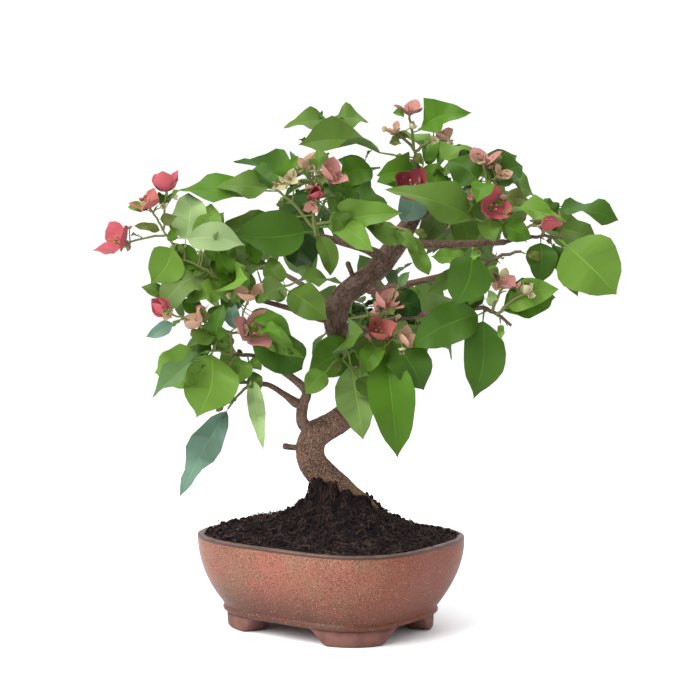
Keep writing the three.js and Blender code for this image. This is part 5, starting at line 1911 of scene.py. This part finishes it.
def soil_fibre(chance):
    f = chance() ** FIBRE_POWER * FIBRE_HIGHEST
    turn = chance() * math.tau
    step = drawn(chance, FIBRE_STEP)
    swing = drawn(chance, FIBRE_SWING) / lerp(*HEAP_WIDTHS, f)
    lift = FIBRE_LIFT * chance() ** 4
    points = []
    for k in range(FIBRE_POINTS):
        spot = soil_spot(np.array(np.clip(f + step * k, *FIBRE_SHARES)), np.array(turn + swing * k))
        rise = FIBRE_RISE + lift * math.sin(math.pi * k / (FIBRE_POINTS - 1))
        points.append(spot + UP * rise + jitter(chance) * FIBRE_PLAY)
    girth = lerp(*FIBRE_GIRTH, chance() ** 2)
    return np.array(points), np.full(FIBRE_POINTS, girth)


# Fine roots that run down the peat beside the trunk
ROOTS = 46
ROOT_POINTS = 7
ROOT_SPREAD = (-1.2, 1.3)
ROOT_START = (1.12, 1.2)
ROOT_END = (0.72, 1.0)
ROOT_SWING = 0.12
ROOT_PHASE = 6
ROOT_RISE = 1.0
ROOT_PLAY = 2.0
ROOT_GIRTH = (0.3, 0.9)
ROOT_TAPER = 0.4


def soil_root(chance):
    turn = TREE_TURN + math.pi + drawn(chance, ROOT_SPREAD)
    start = drawn(chance, ROOT_START)
    end = drawn(chance, ROOT_END)
    points = []
    for k in range(ROOT_POINTS):
        swing = ROOT_SWING * math.sin(k + ROOT_PHASE * chance())
        spot = soil_spot(np.array(lerp(start, end, k / (ROOT_POINTS - 1))), np.array(turn + swing))
        points.append(spot + UP * ROOT_RISE + jitter(chance) * ROOT_PLAY)
    girth = lerp(*ROOT_GIRTH, chance() ** 2)
    return np.array(points), np.linspace(girth, girth * ROOT_TAPER, ROOT_POINTS)


# Pieces

ALL_MASSES = [mass["name"] for mass in FOLIAGE]
SPREAD = spread_tree()
SKIN = skin_tree()
CRUMBS = crumb_tree()
LEAF_VARIETY_SEED = 79
BLOSSOM_VARIETY_SEED = 88
BRACT_PLAY = (-0.3, 0.3)
WIDEST_OPEN = 0.99
TWIG_SIDES = 7
FIBRE_SIDES = 5
# Crumbs: how many per square metre and their sizes
CRUMB_SORTS = {
    "crumbs_dark": dict(density=80000.0, smallest=1.2, largest=7.5, seed=3),
    "crumbs_brown": dict(density=26000.0, smallest=1.0, largest=5.0, seed=4),
    "crumbs_tan": dict(density=3000.0, smallest=0.9, largest=4.0, seed=5),
}
# The innermost rings of the soil, which are under the trunk, have no crumbs
BARE_RINGS = 6


def keep_piece(piece, slot, *nodes):
    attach(piece, "root")
    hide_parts(*nodes)


def aim_of(x, y, z):
    """The turn that lays a shape's own axes along three directions of the tree."""
    columns = np.stack([x, y, z], axis=1)
    return Matrix((TURN_MATRIX @ columns).tolist()).to_euler("XYZ")


def lines_piece(name, lines, to_part, sides, material):
    """Lines with a round skin of their own radii, as one object."""
    edges = []
    count = 0
    for line, _ in lines:
        edges += [(count + k, count + k + 1) for k in range(len(line) - 1)]
        count += len(line)
    mesh = bpy.data.meshes.new(name)
    mesh.from_pydata([tuple(p) for line, _ in lines for p in to_part(line)], edges, [])
    set_values(mesh, "girth", "FLOAT", "POINT", np.concatenate([radii for _, radii in lines]) * MM)
    piece = make_object(name, mesh)
    grow_by_nodes(piece, SKIN, {"Sides": sides, "Material": material})
    return piece


def spread_piece(name, rows, shapes, finishes):
    """A small shape on each row's spot, by its axes, scale and variety, as one object."""
    mesh = bpy.data.meshes.new(name)
    mesh.from_pydata([tuple(p) for p in tree_to_part([row["spot"] for row in rows])], [], [])
    set_values(mesh, "aim", "FLOAT_VECTOR", "POINT", [aim_of(*row["axes"]) for row in rows])
    set_values(mesh, "size", "FLOAT_VECTOR", "POINT", np.array([row["scale"] for row in rows]) * MM)
    set_values(mesh, "variety", "INT", "POINT", [row["variety"] for row in rows])
    piece = make_object(name, mesh)
    grow_by_nodes(piece, SPREAD, {"Shapes": shapes.collection, **dict(zip(ZONES, finishes))})
    return piece


def spread_by_tint(kind, rows, tints, shapes, finishes_of):
    """One piece for each tint that grows."""
    for tint, colour in tints.items():
        own = [row for row in rows if row["tint"] == tint]
        if own:
            piece = spread_piece(f"{kind}_{tint}", own, shapes, finishes_of(tint, colour))
            keep_piece(piece, "foliage", *ALL_MASSES)
    shapes.throw_away()


def lifted(colour, gain, lift):
    return tuple(channel * gain + more for channel, more in zip(colour, lift))


def leaf_finishes(tint, blade):
    rib = lifted(blade, RIB_GAIN, RIB_LIFT)
    underside = lifted(blade, UNDERSIDE_GAIN, UNDERSIDE_LIFT)
    return [
        plain_finish(f"leaf_{tint}", blade, roughness=0.34, specular=0.07),
        plain_finish(f"leaf_{tint}_rib", rib, roughness=0.45, specular=0.05),
        plain_finish(f"leaf_{tint}_underside", underside, roughness=0.6, specular=0.12),
    ]


def build_leaves():
    chance = seeded(LEAF_VARIETY_SEED)
    for row in growth.leaves:
        row["variety"] = int(chance() * LEAF_SHAPES)
    shapes = ShapeBox("leaf_shape", leaf_shape, LEAF_SHAPES)
    spread_by_tint("leaves", growth.leaves, LEAF_TINTS, shapes, leaf_finishes)


def build_blossoms():
    tube = plain_finish("blossom_tube", (0.300, 0.150, 0.080), roughness=0.6, specular=0.2)
    calyx = plain_finish("blossom_stalk", (0.150, 0.170, 0.045), roughness=0.6, specular=0.2)

    def finishes_of(tint, colour):
        return [plain_finish(f"bract_{tint}", colour, roughness=0.6, specular=0.12), tube, calyx]

    chance = seeded(BLOSSOM_VARIETY_SEED)
    for row in growth.blossoms:
        opening = np.clip(BRACT_OPENING[row["tint"]] + drawn(chance, BRACT_PLAY), 0, WIDEST_OPEN)
        row["variety"] = int(opening * BLOSSOM_SHAPES)
    shapes = ShapeBox("blossom_shape", blossom_shape, BLOSSOM_SHAPES)
    spread_by_tint("blossom", growth.blossoms, BRACT_TINTS, shapes, finishes_of)


def build_twigs():
    for name, lines, colour in (
        ("twigs_woody", growth.woody, (0.062, 0.040, 0.026)),
        ("twigs_green", growth.green, (0.105, 0.115, 0.030)),
    ):
        material = plain_finish(name, colour, roughness=0.65, specular=0.3)
        piece = lines_piece(name, lines, tree_to_part, TWIG_SIDES, material)
        keep_piece(piece, "foliage", *ALL_MASSES)


def build_wood():
    bark = bark_finish()
    keep_piece(make_object("trunk_bark", grow_trunk(bark)), "bark", "trunk")
    keep_piece(make_object("bough_bark", grow_boughs(bark)), "bark", *BOUGHS)


def build_pot():
    edge = plain_finish("edge", (0.040, 0.019, 0.014), roughness=0.4, specular=0.3)
    mesh = make_pot(glaze_finish(), lip_finish(), clay_finish(), edge)
    keep_piece(make_object("glazed_pot", mesh), "glaze", "pot")


def build_soil():
    """The bed of peat, crumbs of three sorts over it, and lines of fibre and root."""
    peat = peat_finish()
    bed = make_object("soil_bed", make_soil(peat))
    finishes = {
        "crumbs_dark": peat,
        "crumbs_brown": plain_finish("crumb_brown", (0.032, 0.017, 0.014), roughness=0.95, specular=0.1),
        "crumbs_tan": plain_finish("crumb_tan", (0.085, 0.055, 0.036), roughness=0.9, specular=0.2),
    }
    shapes = ShapeBox("crumb_shape", crumb_shape, CRUMB_SHAPES)
    points = [tuple(v.co) for v in bed.data.vertices]
    top = ring_faces(SOIL_RINGS + 1, SOIL_SIDES)[SOIL_SIDES:SOIL_SIDES * (SOIL_RINGS - BARE_RINGS + 1)]
    for name, sort in CRUMB_SORTS.items():
        piece = make_object(name, make_mesh(name, points, top))
        grow_by_nodes(piece, CRUMBS, {
            "Shapes": shapes.collection, "Per square metre": sort["density"],
            "Smallest": sort["smallest"] * MM, "Largest": sort["largest"] * MM,
            "Seed": sort["seed"], "Material": finishes[name],
        })
        keep_piece(piece, "soil", "soil")
    shapes.throw_away()
    keep_piece(bed, "soil", "soil")
    chance = seeded(SOIL_LINES_SEED)
    fibres = [soil_fibre(chance) for _ in range(FIBRES)]
    roots = [soil_root(chance) for _ in range(ROOTS)]
    for name, lines, colour in (
        ("soil_fibres", fibres, (0.060, 0.038, 0.029)),
        ("soil_roots", roots, (0.040, 0.021, 0.013)),
    ):
        material = plain_finish(name, colour, roughness=0.8, specular=0.2)
        piece = lines_piece(name, lines, pot_to_part, FIBRE_SIDES, material)
        keep_piece(piece, "soil", "soil")


build_pot()
build_soil()
build_wood()
build_twigs()
build_leaves()
build_blossoms()


# Stage, light and camera

FLOOR_HALF = 4.0
LIGHT_AIM = (20, 0, 250)
SKY_STRENGTH = 1.06
SENSOR_WIDTH = 36
NEAREST_SEEN = 0.05
FARTHEST_SEEN = 20


def make_floor():
    white = plain_finish("floor", (0.96, 0.965, 0.98), roughness=0.8, specular=0.05)
    corners = [(-1, -1), (1, -1), (1, 1), (-1, 1)]
    points = [(x * FLOOR_HALF, y * FLOOR_HALF, 0) for x, y in corners]
    make_object("floor", make_mesh("floor", points, [(0, 1, 2, 3)], [white]))


def make_light(name, spot, size, power, colour):
    """A round soft light aimed at the tree's middle."""
    data = bpy.data.lights.new(name, "AREA")
    data.shape = "DISK"
    data.size = size
    data.energy = power
    data.color = colour
    lamp = make_object(name, data)
    lamp.location = Vector(tree_to_part(spot))
    way = Vector(tree_to_part(LIGHT_AIM)) - lamp.location
    lamp.rotation_euler = way.to_track_quat("-Z", "Y").to_euler()


def make_world():
    world = bpy.data.worlds.new("studio")
    world.use_nodes = True
    sky = world.node_tree.nodes["Background"]
    sky.inputs["Color"].default_value = (1, 1, 1, 1)
    sky.inputs["Strength"].default_value = SKY_STRENGTH
    bpy.context.scene.world = world


def make_camera():
    data = bpy.data.cameras.new("camera")
    data.sensor_width = SENSOR_WIDTH
    data.lens = CAMERA_LENS
    data.clip_start = NEAREST_SEEN
    data.clip_end = FARTHEST_SEEN
    camera = make_object("camera", data)
    camera.location = Vector(tree_to_part(CAMERA_PLACE))
    camera.rotation_euler = (math.pi / 2 - CAMERA_PITCH, 0, TREE_TURN)
    bpy.context.scene.camera = camera


make_floor()
make_world()
make_light("key", (-1000, -800, 1200), size=1.6, power=47, colour=(1.0, 0.99, 0.97))
make_light("top", (200, 100, 1500), size=1.2, power=14, colour=(0.98, 0.99, 1.0))
make_camera()
bpy.context.scene.view_settings.view_transform = "Standard"
